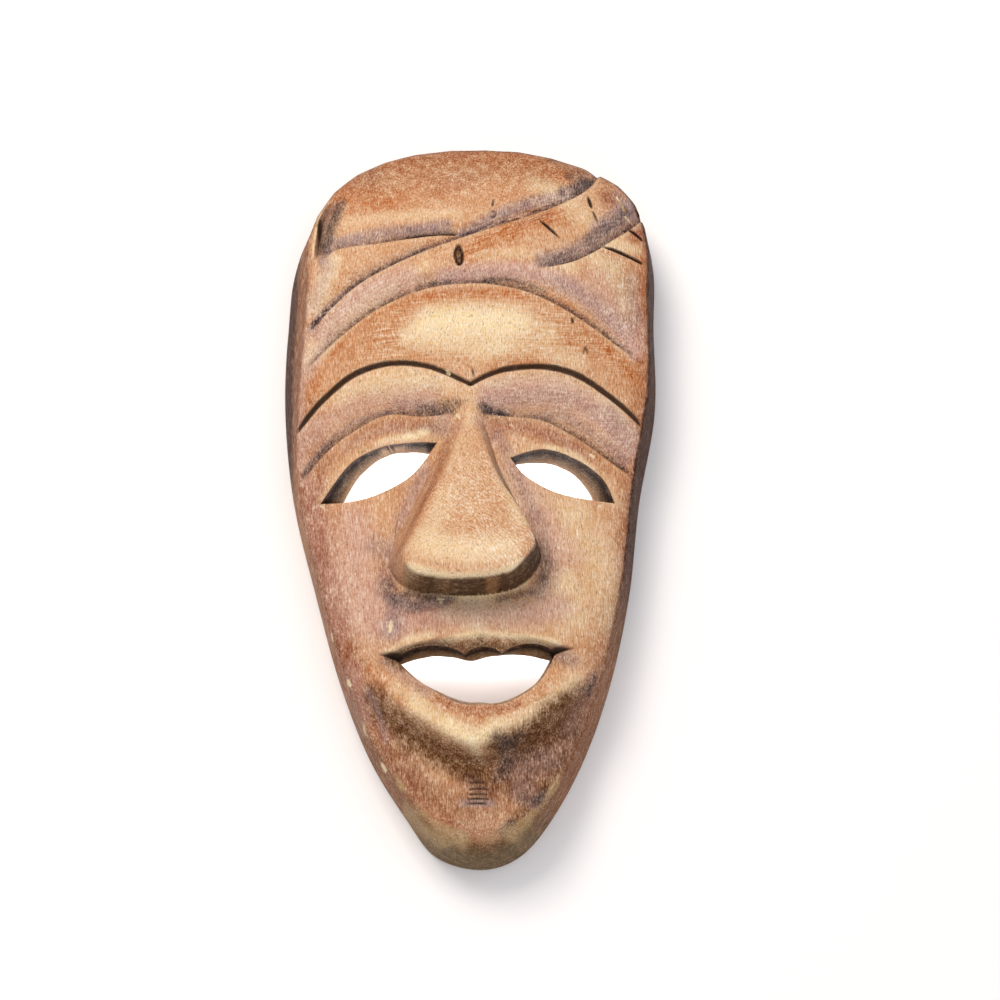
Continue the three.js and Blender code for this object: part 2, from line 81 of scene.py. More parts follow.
def splinePoints(knots, count, closed=False):
    return splineAt(knots, np.arange(count) / (count if closed else count - 1), closed)


def linePoints(knots, detail=6):
    return splinePoints(knots, (len(knots) - 1) * detail + 1)


def tableAt(rows, y):
    # a row of a table whose first column is y, read between its rows
    rows = np.asarray(rows, float)
    row = np.clip(np.searchsorted(rows[:, 0], y, side="right") - 1, 0, len(rows) - 2)
    w = np.clip((y - rows[row, 0]) / (rows[row + 1, 0] - rows[row, 0]), 0, 1)
    return np.moveaxis(splineAt(rows, (row + w) / (len(rows) - 1)), -1, 0)


def nearest(points, x, y, reach, closed=False):
    # distance to a line, positive on the left of its course, and the share of the course there;
    # places farther than the reach from its box are given as a metre away, with a share of 0
    distance, share = np.full(x.shape, 1000.0), np.zeros(x.shape)
    low, high = points.min(0) - reach, points.max(0) + reach
    near = (x > low[0]) & (x < high[0]) & (y > low[1]) & (y < high[1])
    px, py = x[near], y[near]
    best, side, course = np.full(px.shape, np.inf), np.ones(px.shape), np.zeros(px.shape)
    ends = np.roll(points, -1, 0) if closed else points[1:]
    spans = len(ends)
    for i, ((ax, ay), (bx, by)) in enumerate(zip(points[:spans], ends)):
        ex, ey = bx - ax, by - ay
        w = np.clip(((px - ax) * ex + (py - ay) * ey) / (ex * ex + ey * ey), 0, 1)
        dx, dy = px - ax - w * ex, py - ay - w * ey
        squared = dx * dx + dy * dy
        closer = squared < best
        best = np.where(closer, squared, best)
        side = np.where(closer, np.where(ex * dy - ey * dx >= 0, 1, -1), side)
        course = np.where(closer, (i + w) / spans, course)
    distance[near], share[near] = np.sqrt(best) * side, course
    return distance, share


def gapTo(points, x, y, reach, closed=False):
    # distance to a line, whichever side of it
    return np.abs(nearest(points, x, y, reach, closed)[0])


def fadedEnds(share, first, last):
    # 1 along a line, falling to 0 over the first and the last share of it
    ends = smoothStep(0, first, share) if first else 1
    return ends * (smoothStep(0, last, 1 - share) if last else 1)


def peakAt(place, width, distance):
    # 1 at a distance, soft to both sides of it
    return np.exp(-((distance - place) / width) ** 2)


def isInside(points, x, y):
    inside = np.zeros(x.shape, bool)
    for (ax, ay), (bx, by) in zip(points, np.roll(points, -1, 0)):
        if ay != by:
            crosses = ((ay > y) != (by > y)) & (x < ax + (y - ay) * (bx - ax) / (by - ay))
            inside ^= crosses
    return inside


def softNoise(x, y, size, seed):
    # smooth random field from -1 to 1 with lumps of the given size
    cells = 61
    shift = 300.5   # keeps both places on the lattice above 0
    lattice = np.random.default_rng(seed).uniform(-1, 1, (cells, cells))
    u, v = x / size + shift, y / size + shift
    i, j = np.floor(u).astype(int), np.floor(v).astype(int)
    fu, fv = u - i, v - j
    fu, fv = fu * fu * (3 - 2 * fu), fv * fv * (3 - 2 * fv)
    at = lambda a, b: lattice[a % cells, b % cells]
    low = at(i, j) * (1 - fu) + at(i + 1, j) * fu
    high = at(i, j + 1) * (1 - fu) + at(i + 1, j + 1) * fu
    return low * (1 - fv) + high * fv


def hollowed(value):
    # one gouge stroke across each whole number: 1 in its middle, 0 at the ridges between strokes
    return 1 - (2 * (value - np.floor(value)) - 1) ** 2


# The block: outline, dome, wall and hollow, in millimetres
block = {
    "wall": 13,
    "rimWidth": 11,
    "rimChamfer": 1.5,
    "domePower": 2.3,      # how flat the face is across, 2 is a parabola
    "domeReach": 1.15,     # half widths out to which the dome goes on falling
    # outline anticlockwise from the viewer's right: x, y, lean of the side wall, shoulder radius
    "rim": [
        (69.8, 0, 3, 4), (77, 39, 3.5, 4), (77.3, 75, 3.5, 4), (77, 107, 3.5, 4), (64.8, 130.5, 2.5, 4),
        (33.5, 145.5, 2, 4), (2, 150, 2, 5), (-31, 145.5, 2, 5), (-56.5, 130, 2.5, 4), (-73.8, 106, 7, 3),
        (-77.5, 75, 10, 3), (-77.7, 39, 8, 3), (-73, 0, 3, 3.5), (-63, -39, 2, 4), (-52.5, -75, 2, 4),
        (-40, -106, 2, 4), (-25, -130, 2, 5), (-13, -145, 2, 7), (4.5, -150, 1.5, 8),
        (20, -145, 2, 7), (33, -130, 2, 5), (46, -106, 2.5, 4), (57, -75, 3, 4), (65, -39, 3, 4),
    ],
    # y, height on the middle line, height at the sides, x of the middle line, half width
    "dome": [
        (-150, 27, 19, 4.5, 36), (-135, 35, 21, 4, 41), (-115, 41, 22, 3.3, 48), (-95, 46, 23, 2.7, 55),
        (-60, 46, 25, 1.6, 66), (-20, 43, 28, -0.6, 73), (15, 43, 30, -1, 76), (45, 47.5, 32, -0.4, 78),
        (75, 51.5, 33, 0, 79), (100, 49.5, 32, 0, 79), (125, 42.5, 29, 0, 77), (150, 30, 24, 0, 74),
    ],
    "faceCells": (360, 680),
    "hollowCells": (150, 280),
    "shoulderRings": 8,
    "wallRings": 16,
    "leanPower": 1.3,      # how the side wall's lean dies out towards the rim
    "gougeWidth": 9,
    "gougeLength": 30,
    "gougeDepth": 0.7,
    "hollowPower": 7,      # how steeply the roof of the hollow drops to its edge
    "noseScoop": {"y": -30, "halfWidth": 14, "halfLength": 20, "depth": 9},
    "meanRadius": 110,     # turns an angle round the outline into a length
    "wallFacet": 13,       # width of the knife facets round the side wall
    "wallFacetDepth": 0.35,
    "waviness": 0.22,      # how far the smooth face strays from a true curve
    "waveSizes": (11, 5),
    "smallWaves": 0.6,     # height of the small waves as a share of the large
}

# Folds: the surface on the left of each line sinks to it over the ramp and steps up at the line. fade
# is the share of each end over which the fold dies out.
# Then how far and how much sooty film and painted shade the ramp holds, how far the edge of the step is
# rubbed pale and painted as a highlight, and ink: how dark the film is right beside the line, at its start
# and at its end.
folds = [
    # crown fold
    {"drop": 2.6, "ramp": 9, "fade": (0.2, 0.08),
     "rampFilmAndShadeReach": 4, "rampFilmAndShade": 0.3, "worn": 0.15, "ink": (0.25, 0.6),
     "line": [(-62, 91.5), (-56.5, 95.7), (-50, 97), (-36, 97.3), (-23, 98.8), (-11, 100.3), (-4.5, 100)]},
    # long fold
    {"drop": 3, "ramp": 8, "fade": (0.1, 0),
     "rampFilmAndShadeReach": 3, "rampFilmAndShade": 0.25, "worn": 0.3, "ink": (0.8, 0.5),
     "line": [(-65, 61), (-57, 70), (-47, 78.5), (-35, 85), (-21, 91.5), (-6, 97.5), (12, 104.5), (29, 112),
              (40, 118.5), (48, 125.5), (53, 134), (56, 146)]},
    # forehead edge
    {"drop": 3, "ramp": 11, "fade": (0.15, 0.15),
     "rampFilmAndShadeReach": 2.5, "rampFilmAndShade": 0.15, "worn": 0.3, "ink": (0.45, 0.8),
     "line": [(-74, 36), (-65, 47), (-54.5, 56.5), (-42, 65.5), (-29, 72), (-14.5, 76.3), (0, 77.8),
              (12, 77), (24, 74.5), (35.5, 69.8), (48, 63), (58, 56.5), (65.5, 51.5), (71.5, 46)]},
    # knot edge
    {"drop": 3.6, "ramp": 9, "fade": (0.2, 0),
     "rampFilmAndShadeReach": 3, "rampFilmAndShade": 0.4, "worn": 0.6, "ink": (0.6, 0.45),
     "line": [(26, 85), (33, 86.3), (42, 89.5), (50.5, 95), (57, 100.5), (64.5, 107), (72, 115)]},
    # left lid
    {"drop": 3.6, "ramp": 15, "fade": (0.12, 0.12),
     "rampFilmAndShadeReach": 2, "rampFilmAndShade": 0.1, "worn": 0.1, "ink": (0.6, 0.5),
     "line": [(-69, -2), (-58, 11), (-46, 19.5), (-33, 25), (-19, 24), (-7, 25)]},
    # right lid
    {"drop": 3.6, "ramp": 15, "fade": (0.12, 0.12),
     "rampFilmAndShadeReach": 2, "rampFilmAndShade": 0.1, "worn": 0.15, "ink": (0.25, 0.85),
     "line": [(4, 25), (16, 24), (30, 22.5), (44, 16), (56, 8), (67, 1)]},
    # wrap end
    {"drop": 5, "ramp": 9, "fade": (0.25, 0.2),
     "rampFilmAndShadeReach": 5, "rampFilmAndShade": 0.6, "worn": 0.9, "ink": (0.3, 0.3),
     "line": [(-56.5, 120.5), (-60.3, 114.5), (-61.7, 108), (-62.6, 101), (-63.2, 91)]},
]
foldStep = 1.1         # width of the step beside the line
foldRampPower = 1.7    # how hollow the ramp is

# Cuts with a V section: brow lines, slits in the wrap, corners of the mouth, small nicks. Each has
# its line, width, depth, the share of each end that fades, and how dark the residue in it is: 0 is a
# chip that shows bare wood.
browWidth = 2.5
narrowEnd = 0.35       # width of a cut at its faded ends, as a share of the full width
cutTable = [
    ([(-74.5, 14.5), (-68, 22.3), (-59, 32), (-46, 41.3), (-31, 44.7), (-15, 42.6), (2, 35.2)],
     browWidth, 1.7, (0.15, 0.03), 1),
    ([(-0.6, 35.4), (9, 40.2), (20, 42.7), (33, 43.1), (45, 40), (57, 32.8), (66, 26), (71.5, 20)],
     browWidth, 1.7, (0.03, 0.15), 1),
    ([(48.4, 122.6), (49.2, 118.6), (50.4, 114)], 1.5, 2, (0.5, 0.3), 1),
    ([(50.2, 114.4), (51.6, 110.4), (53.2, 105.6)], 0.9, 0.8, (0.2, 0.5), 1),
    ([(27.6, 107.6), (33, 102.4), (39, 96)], 1.2, 2, (0.3, 0.5), 1),
    ([(60.4, 107.6), (66, 106.4), (71.5, 102.5)], 1.4, 2, (0.6, 0.1), 1),
    ([(50.5, 97.4), (60, 95.6), (71.5, 91.6)], 1.6, 2, (0.5, 0.1), 1),
    ([(-34, 97.4), (-20, 99.2), (-4.4, 100.3)], 1.5, 0.8, (0.5, 0.12), 1),
    ([(-61.8, 116), (-62.4, 108), (-63.2, 96)], 1.6, 1, (0.5, 0.5), 1),
    ([(-4.6, 94), (-5.8, 91), (-5.6, 87.4), (-4.2, 85.4), (-3, 87.4), (-3.4, 91), (-4.6, 94)],
     1.4, 1.8, (0.02, 0.02), 1),
    ([(-37, -73), (-31, -73.5), (-24, -73.8)], 2.8, 3, (0.8, 0.1), 1),
    ([(31, -71.8), (37, -71), (45.5, -69.8)], 2.8, 3, (0.1, 0.8), 1),
    ([(41, 65), (41.4, 63), (41.8, 60.5)], 0.9, 0.7, (0.4, 0.4), 1),
    ([(45.6, 48.6), (46.7, 52.2), (47.8, 48.8)], 0.7, 0.5, (0.2, 0.2), 1),
    ([(0.4, 44), (1.4, 40.5), (2, 37.8)], 0.8, 0.5, (0.3, 0.3), 1),
    ([(9.6, 118), (9.3, 114.5), (9, 112)], 0.7, 0.5, (0.3, 0.3), 1),
    ([(8.4, 109.5), (9.6, 110.6), (10.4, 109), (9.2, 107.6), (8.4, 108.6)], 0.6, 0.4, (0.1, 0.1), 1),
    ([(-9.6, 42.6), (-8.6, 40.8), (-8, 39.2)], 1.4, 0.9, (0.3, 0.3), 0),
    ([(-59.8, -10.9), (-57.5, -12.4), (-55.6, -14.2)], 0.9, 0.5, (0.2, 0.5), 0),
    ([(-30.2, -59.3), (-30.4, -62), (-30.6, -65.2)], 1.5, 0.6, (0.12, 0.12), 0),
    ([(-10.6, -51.6), (-10.6, -53.4), (-10.5, -55.6)], 0.9, 0.4, (0.2, 0.4), 0),
    ([(-13.2, -52.4), (-11, -52), (-8.6, -52.6)], 0.8, 0.4, (0.3, 0.3), 0),
    ([(-61.7, -37.4), (-62.2, -38.6), (-62.6, -40.2)], 1.6, 0.7, (0.3, 0.3), 0),
    ([(-55.2, -61), (-54.6, -63.4), (-54, -66)], 1.8, 0.8, (0.3, 0.3), 0),
    ([(-42, -97), (-41.2, -100.6), (-40.2, -104.8)], 2.2, 0.9, (0.3, 0.3), 0),
    ([(-5.8, 24.6), (-4.6, 22.8), (-3.4, 20.8)], 1.2, 0.6, (0.3, 0.3), 0),
    ([(62.8, 114.4), (65, 112.6), (67.4, 110.8)], 0.8, 0.4, (0.3, 0.3), 0),
    ([(-47.6, -80), (-46.6, -82.4), (-45.4, -84)], 1.2, 0.4, (0.3, 0.3), 0),
    ([(-34.4, -112), (-33, -114.6), (-31.6, -117)], 1.6, 0.6, (0.3, 0.3), 0),
    ([(-25, -92.4), (-24.2, -92.8), (-23.4, -92.6)], 1, 0.3, (0.3, 0.3), 0),
    ([(-8.4, -22), (-7.6, -24), (-7.8, -26)], 1.3, 0.3, (0.3, 0.3), 0),
    ([(47.6, 9.4), (49, 8.6), (50.4, 7.4)], 1.2, 0.4, (0.3, 0.3), 0),
    ([(50.6, -13.2), (52, -11.8), (53.6, -12)], 1, 0.3, (0.3, 0.3), 0),
    ([(60.4, 123), (61, 121.6), (61.8, 120)], 0.9, 0.5, (0.3, 0.3), 0),
]
# Chatter marks of the gouge below the lip: y, from x, to x
chatter = [(-121.9, 0, 7), (-124.4, -0.7, 9.2), (-126.4, -0.7, 8.6), (-128.2, -1.5, 9.2), (-130, -1.8, 8.4)]
cutTable += [([(a, y), ((a + b) / 2, y + 0.3), (b, y)], 2, 0.5, (0.2, 0.2), 0.4) for y, a, b in chatter]
cuts = [dict(zip(("line", "width", "depth", "fade", "dark"), row)) for row in cutTable]

lips = {
    "ridge": [(-40, -80), (-30, -88), (-18, -96.5), (-7, -103.5), (3, -107), (12, -105), (22, -100),
              (34, -91), (44, -82), (50, -74)],
    "hollowDepth": 6, "hollowFall": 10, "hollowRise": 24, "hollowFade": 0.22,
    "lowerDip": 5, "lowerReach": 14, "lowerPower": 1.4,
    # the crest that the upper lip rolls in under
    "crest": [(-33, -72.5), (-26, -70.5), (-17, -69), (-9, -66.8), (0, -65.4), (8, -65), (17, -66),
              (25, -67.5), (34, -69), (42, -70)],
    "upperDip": 4, "upperPower": 1.6,
    # y where the roll and the dip of the upper lip set in
    "rollFrom": (-82, -76), "upperFrom": (-80, -72),
}

nose = {
    "foot": [(-3, 29), (-5.5, 24), (-9, 18.5), (-12.5, 8), (-18, -5), (-23, -15.5), (-27.8, -26),
             (-31, -34), (-30.5, -39.8), (-25.5, -46), (-18, -49.3), (-8, -50.5), (1, -50.6), (9, -50),
             (19, -47), (25.5, -41.5), (28.2, -34), (25, -24.5), (18.5, -12), (12, 1), (8.3, 12),
             (5.8, 20), (4, 29)],
    "front": [(-0.5, 27), (-2.5, 19), (-5, 10), (-7.8, 1.5), (-11.5, -6.5), (-15.5, -14.7), (-19.5, -25),
              (-22.9, -35), (-24.5, -41.5), (-20.7, -46.8), (-14, -48.8), (-7, -49.7), (0, -49.8),
              (7.2, -49.2), (13, -47.9), (17.8, -46), (23.7, -38.4), (25.6, -32.5), (20, -19.3),
              (12, -5.5), (7, 8.3), (3.5, 20), (1.5, 27)],
    "ridge": [(-52, 66), (-42, 67), (-20, 59), (0, 52), (20, 47), (30, 45)],
    "roundness": 2.5,      # how far in from its edge the front starts to round off
    "frontX": 1, "frontCurve": 0.004,
    "dish": 2.2, "dishReach": 6, "dishFrom": (26, 14),   # hollow round the foot, and y where it sets in
}

# Through holes: the edge on the face, then the edge where the cut comes out behind
holes = {
    "left eye": {
        "frontLower": [(-59.4, -10.6), (-48, -10.9), (-36, -8.3), (-23, -0.9), (-12.8, 13)],
        "frontUpper": [(-12.8, 13), (-24, 12.6), (-36, 11), (-48, 4.6), (-59.4, -10.6)],
        "backLower": [(-52, -7), (-45, -8), (-34, -5.5), (-22, 2), (-16, 11.8)],
        "backUpper": [(-16, 11.8), (-25, 12.6), (-34, 11.2), (-44, 4.4), (-52, -7)],
    },
    "right eye": {
        "frontLower": [(16.3, 6.4), (21.5, -0.3), (32, -6.7), (45, -9.6), (58, -10.4)],
        "frontUpper": [(58, -10.4), (53.5, -1), (43.5, 6.3), (30, 10.2), (16.3, 6.4)],
        "backLower": [(18.5, 7.4), (25, 0), (33, -4.5), (43, -7), (51, -8)],
        "backUpper": [(51, -8), (48, -1.2), (40.5, 5.4), (30.5, 8.4), (18.5, 7.4)],
    },
    "mouth": {
        # gouge strokes under the upper lip: from x, to x, how far each one bites up
        "bites": [(-28, -1.4, 4.2), (-1.4, 12.9, 3), (12.9, 34, 4)],
        "frontLower": [(-29, -74), (-20, -83), (-5, -92), (5, -93), (15, -92), (27, -84), (34, -72)],
        "frontUpper": [(34, -72), (20, -73), (8, -73.4), (0, -73.6), (-8, -73.8), (-18, -74), (-29, -74)],
        "backLower": [(-27, -74), (-18, -82.5), (-4, -89.5), (4.5, -90.5), (13.5, -90), (25.5, -83),
                      (32, -72.5)],
        "backUpper": [(32, -72.5), (20, -71.4), (9, -72.4), (1, -74.2), (-7, -72.6), (-16, -72.2),
                      (-27, -74)],
    },
}
opening = {
    "detail": 60,          # points along the lower edge, twice as many along the upper
    "straight": 1,         # depth under the face where the sides stop going straight down
    "ledge": 4,            # depth where the narrow ledge below ends
    "ledgeShare": 0.25,    # how far the ledge goes towards the edge behind
    "above": 90, "below": -6,   # heights past the block that the cutting shapes run to
}


def holeEdge(lower, upper, bites=()):
    lower = splinePoints(lower, opening["detail"] + 1)[:-1]
    upper = splinePoints(upper, 2 * opening["detail"] + 1)[:-1]
    for start, end, rise in bites:
        across = (2 * upper[:, 0] - start - end) / (end - start)
        upper[:, 1] += rise * np.clip(1 - across ** 2, 0, 1) ** 0.8
    return np.vstack([lower, upper])


for fold in folds:
    fold["points"] = linePoints(fold["line"])
for cut in cuts:
    cut["points"] = linePoints(cut["line"])
lips["points"] = linePoints(lips["ridge"])
lips["crestPoints"] = linePoints(lips["crest"])
nose["footPoints"] = splinePoints(nose["foot"], 3 * len(nose["foot"]), closed=True)
nose["frontPoints"] = splinePoints(nose["front"], 3 * len(nose["front"]), closed=True)
for hole in holes.values():
    hole["front"] = holeEdge(hole["frontLower"], hole["frontUpper"], hole.get("bites", ()))
mouthEdge = holes["mouth"]["front"]


def domeHeight(x, y):
    _, middle, side, middleX, halfWidth = tableAt(block["dome"], y)
    across = np.minimum(block["domeReach"], np.abs(x - middleX) / halfWidth)
    return side + (middle - side) * (1 - across ** block["domePower"])


def foldEnds(fold, share):
    return fadedEnds(share, *fold["fade"]) * ((share > 0) & (share < 1))


def foldSink(fold, x, y):
    distance, share = nearest(fold["points"], x, y, fold["ramp"])
    ramp = np.clip(1 - distance / fold["ramp"], 0, 1) ** foldRampPower
    step = np.clip(1 + distance / foldStep, 0, 1)
    return fold["drop"] * foldEnds(fold, share) * np.where(distance >= 0, ramp, step)


def cutSink(cut, x, y):
    distance, share = nearest(cut["points"], x, y, cut["width"])
    ends = fadedEnds(share, *cut["fade"])
    half = cut["width"] / 2 * (narrowEnd + (1 - narrowEnd) * ends)
    return cut["depth"] * ends * np.clip(1 - np.abs(distance) / half, 0, 1)


def chinSink(x, y):
    distance, share = nearest(lips["points"], x, y, lips["hollowFall"] + lips["hollowRise"])
    ends = fadedEnds(share, lips["hollowFade"], lips["hollowFade"])
    fall = smoothStep(0, lips["hollowFall"], -distance)
    rise = smoothStep(lips["hollowFall"], lips["hollowFall"] + lips["hollowRise"], -distance)
    return lips["hollowDepth"] * ends * fall * (1 - rise)


def lipRoll(x, y):
    # 0 on the crest of the upper lip, 1 at the edge of the mouth below it
    distance, share = nearest(lips["crestPoints"], x, y, 10)
    below = np.clip(-distance, 0, None) * (share > 0) * (share < 1)
    away = gapTo(mouthEdge, x, y, 12, closed=True)
    roll = np.where(isInside(mouthEdge, x, y), 1, below / (below + away + 1e-6))
    return roll * smoothStep(*lips["rollFrom"], y)


def lipSink(x, y):
    outside = gapTo(mouthEdge, x, y, lips["lowerReach"], closed=True)
    outside = np.where(isInside(mouthEdge, x, y), 0, outside)
    lower = lips["lowerDip"] * np.clip(1 - outside / lips["lowerReach"], 0, 1) ** lips["lowerPower"]
    share = smoothStep(*lips["upperFrom"], y)
    return lower * (1 - share) + lips["upperDip"] * lipRoll(x, y) ** lips["upperPower"] * share


def noseShare(x, y):
    # 0 at the foot of the nose, 1 on its front face, with the distances to both edges
    foot = gapTo(nose["footPoints"], x, y, 20, closed=True)
    front = gapTo(nose["frontPoints"], x, y, 20, closed=True)
    inFoot = isInside(nose["footPoints"], x, y)
    onFront = isInside(nose["frontPoints"], x, y)
    share = np.where(onFront, 1, foot / (foot + front))
    return np.where(inFoot, share, 0), foot, np.where(onFront, front, 0)


def withNose(height, x, y):
    share, foot, front = noseShare(x, y)
    edge = np.clip(1 - front / nose["roundness"], 0, 1)
    top = tableAt(nose["ridge"], y)[1] - nose["frontCurve"] * (x - nose["frontX"]) ** 2 - edge ** 2
    dish = nose["dish"] * peakAt(0, nose["dishReach"], foot) * smoothStep(*nose["dishFrom"], y)
    return np.where(share > 0, height + (top - height) * share, height - dish)


def faceHeight(x, y):
    height = domeHeight(x, y) - chinSink(x, y) - lipSink(x, y)
    for fold in folds:
        height = height - foldSink(fold, x, y)
    height = withNose(height, x, y)
    for cut in cuts:
        height = height - cutSink(cut, x, y)
    large, small = block["waveSizes"]
    waves = softNoise(x, y, large, seed=3) + block["smallWaves"] * softNoise(x, y, small, seed=4)
    return height + block["waviness"] * waves


def roofHeight(x, y):
    # the hollow's roof, scooped out further behind the nose and marked by staggered gouge strokes
    scoop = block["noseScoop"]
    across, along = x / scoop["halfWidth"], (y - scoop["y"]) / scoop["halfLength"]
    column = x / block["gougeWidth"] + 0.4 * softNoise(x, y, 30, seed=8)
    row = y / block["gougeLength"] + 0.5 * (np.floor(column) % 2) + 0.3 * softNoise(x, y, 22, seed=9)
    gouged = block["gougeDepth"] * hollowed(column) * (0.5 + 0.5 * hollowed(row))
    return domeHeight(x, y) - block["wall"] + scoop["depth"] * np.exp(-across ** 2 - along ** 2) + gouged


def rimPoint(angle, inwards):
    # point of the outline at an angle, moved inwards; inwards(lean, radius) gives how far
    turn = angle / (2 * math.pi)
    step = 0.001   # to the points before and after, which give the outline's course
    onRim = lambda turn: np.moveaxis(splineAt(block["rim"], turn % 1, closed=True), -1, 0)
    x, y, lean, radius = onRim(turn)
    ax, ay = onRim(turn + (1 - step))[:2]
    bx, by = onRim(turn + step)[:2]
    length = np.hypot(bx - ax, by - ay)
    distance = inwards(lean, radius)
    return x - (by - ay) / length * distance, y + (bx - ax) / length * distance, radius


def shell(cells, place, height, rings):
    # closed shell: a grid bent to fill the outline, rings down from its edge, a flat underside;
    # the grid's lines lie closer together towards the edge
    columns, rows = (np.linspace(-1, 1, count + 1) for count in cells)
    closer = lambda line: line * (1.2 - 0.2 * line * line)
    t, s = np.meshgrid(closer(rows), closer(columns), indexing="ij")
    a, b = s * np.sqrt(1 - t * t / 2), t * np.sqrt(1 - s * s / 2)
    reach, angle = np.hypot(a, b), np.arctan2(b, a) % (2 * math.pi)
    x, y = (part * reach for part in place(angle))
    points = [np.stack([x, y, height(x, y, reach)], -1).reshape(-1, 3)]
    index = np.arange(x.size).reshape(x.shape)
    quads = [np.stack([index[:-1, :-1], index[:-1, 1:], index[1:, 1:], index[1:, :-1]], -1).reshape(-1, 4)]
    edge = np.concatenate([index[0, :-1], index[:-1, -1], index[-1, :0:-1], index[:0:-1, 0]])
    around = angle.reshape(-1)[edge]
    upper, total = edge, x.size
    for ring in rings(around):
        lower = total + np.arange(len(edge))
        quads.append(np.stack([lower, np.roll(lower, -1), np.roll(upper, -1), upper], -1))
        points.append(ring)
        upper, total = lower, total + len(edge)
    points.append(np.array([[0, 0, points[-1][0, 2]]]))
    fan = np.stack([np.full(len(edge), total), np.roll(upper, -1), upper], -1)
    quads = np.vstack(quads)
    triangles = np.vstack([quads[:, [0, 1, 2]], quads[:, [0, 2, 3]], fan])
    return np.vstack(points), triangles


def carvedBlock():
    along = lambda angle: angle * block["meanRadius"] / block["wallFacet"]
    facet = lambda angle: block["wallFacetDepth"] * hollowed(along(angle))
    place = lambda angle: rimPoint(angle, lambda lean, radius: lean + radius)[:2]

    def rings(angle):
        radius = rimPoint(angle, lambda lean, radius: lean)[2]
        column = []
        for turn in np.linspace(0, math.pi / 2, block["shoulderRings"] + 1)[1:]:
            inwards = lambda lean, r: lean + r * (1 - math.sin(turn)) + facet(angle) * math.sin(turn)
            x, y, _ = rimPoint(angle, inwards)
            column.append(np.stack([x, y, faceHeight(x, y) - radius * (1 - math.cos(turn))], -1))
        top = column[-1][:, 2]
        for share in np.linspace(0, 1, block["wallRings"] + 1)[1:]:
            left, power = 1 - share, block["leanPower"]
            x, y, _ = rimPoint(angle, lambda lean, r: lean * left ** power + facet(angle) * left)
            column.append(np.stack([x, y, top + (block["rimChamfer"] - top) * share], -1))
        x, y, _ = rimPoint(angle, lambda lean, r: block["rimChamfer"] + 0 * lean)
        return column + [np.stack([x, y, 0 * x], -1)]

    return shell(block["faceCells"], place, lambda x, y, reach: faceHeight(x, y), rings)


def hollow():
    place = lambda angle: rimPoint(angle, lambda lean, radius: block["rimWidth"] + 0 * lean)[:2]
    drop = lambda reach: np.sqrt(1 - np.clip(reach, 0, 1) ** block["hollowPower"])
    height = lambda x, y, reach: roofHeight(x, y) * drop(reach)
    rings = lambda angle: [np.stack([*place(angle), 0 * angle + opening["below"]], -1)]
    return shell(block["hollowCells"], place, height, rings)


def throughCut(hole):
    # straight down to the face, a narrow ledge, then sloping to the edge behind
    front, back = hole["front"], holeEdge(hole["backLower"], hole["backUpper"])
    middle = front + opening["ledgeShare"] * (back - front)
    surface = faceHeight(*front.T)
    count = len(front)
    levels = [
        np.c_[front, np.full(count, opening["above"])],
        np.c_[front, surface - opening["straight"]],
        np.c_[middle, surface - opening["ledge"]],
        np.c_[back, roofHeight(*back.T)],
        np.c_[back, np.full(count, opening["below"])],
    ]
    ring = np.arange(count)
    following = np.roll(ring, -1)
    triangles = []
    for level in range(len(levels) - 1):
        upper, lower = level * count, (level + 1) * count
        triangles.append(np.stack([lower + ring, lower + following, upper + following], -1))
        triangles.append(np.stack([lower + ring, upper + following, upper + ring], -1))
    top = count * len(levels)
    lowest = top - count
    triangles.append(np.stack([np.full(count, top), ring, following], -1))
    triangles.append(np.stack([np.full(count, top + 1), lowest + following, lowest + ring], -1))
    centres = np.array([levels[0].mean(0), levels[-1].mean(0)])
    return np.vstack(levels + [centres]), np.vstack(triangles)


def asObject(name, shape):
    points, triangles = shape
    mesh = bpy.data.meshes.new(name)
    mesh.from_pydata(points, [], triangles)
    made = bpy.data.objects.new(name, mesh)
    bpy.context.scene.collection.objects.link(made)
    return made


def applied(piece):
    # the piece's mesh with its modifiers worked in
    graph = bpy.context.evaluated_depsgraph_get()
    mesh = bpy.data.meshes.new_from_object(piece.evaluated_get(graph))
    piece.modifiers.clear()
    piece.data = mesh
    return mesh


maskPiece = {"faces": 190000, "sharpAngle": 50}


def makeMask():
    piece = asObject("carvedMask", carvedBlock())
    print("carved block", len(piece.data.polygons), "faces")
    cutters = [asObject("hollowCutter", hollow())]
    for name, hole in holes.items():
        cutters.append(asObject(name.replace(" ", "") + "Cutter", throughCut(hole)))
    for cutter in cutters:
        away = piece.modifiers.new(cutter.name, "BOOLEAN")
        away.operation, away.solver, away.object = "DIFFERENCE", "MANIFOLD", cutter
    mesh = applied(piece)
    for cutter in cutters:
        bpy.data.objects.remove(cutter)
    print("hollow and openings cut,", len(mesh.polygons), "faces")
    thinner = piece.modifiers.new("thinner", "DECIMATE")
    thinner.ratio = min(1, maskPiece["faces"] / len(mesh.polygons))
    mesh = applied(piece)
    print("thinned to", len(mesh.polygons), "faces")
    return piece


def pointsOf(mesh):
    points = np.empty(3 * len(mesh.vertices))
    mesh.vertices.foreach_get("co", points)
    return points.reshape(-1, 3)


def fitToFrame(piece):
    # millimetres to metres, to the frame's own box
    points = pointsOf(piece.data)
    low, high = points.min(0), points.max(0)
    share = (points - low) / (high - low)
    boxLow, boxHigh = np.array(cadLow), np.array(cadHigh)
    placed = boxLow + share * (boxHigh - boxLow)
    piece.data.vertices.foreach_set("co", placed.reshape(-1))
    piece.data.update()


mask = makeMask()
maskPoints = pointsOf(mask.data)
fitToFrame(mask)
mask.data.shade_smooth()
mask.data.set_sharp_from_angle(angle=math.radians(maskPiece["sharpAngle"]))
print("mask fitted to the frame's box")

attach(mask, "root")
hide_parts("mask")


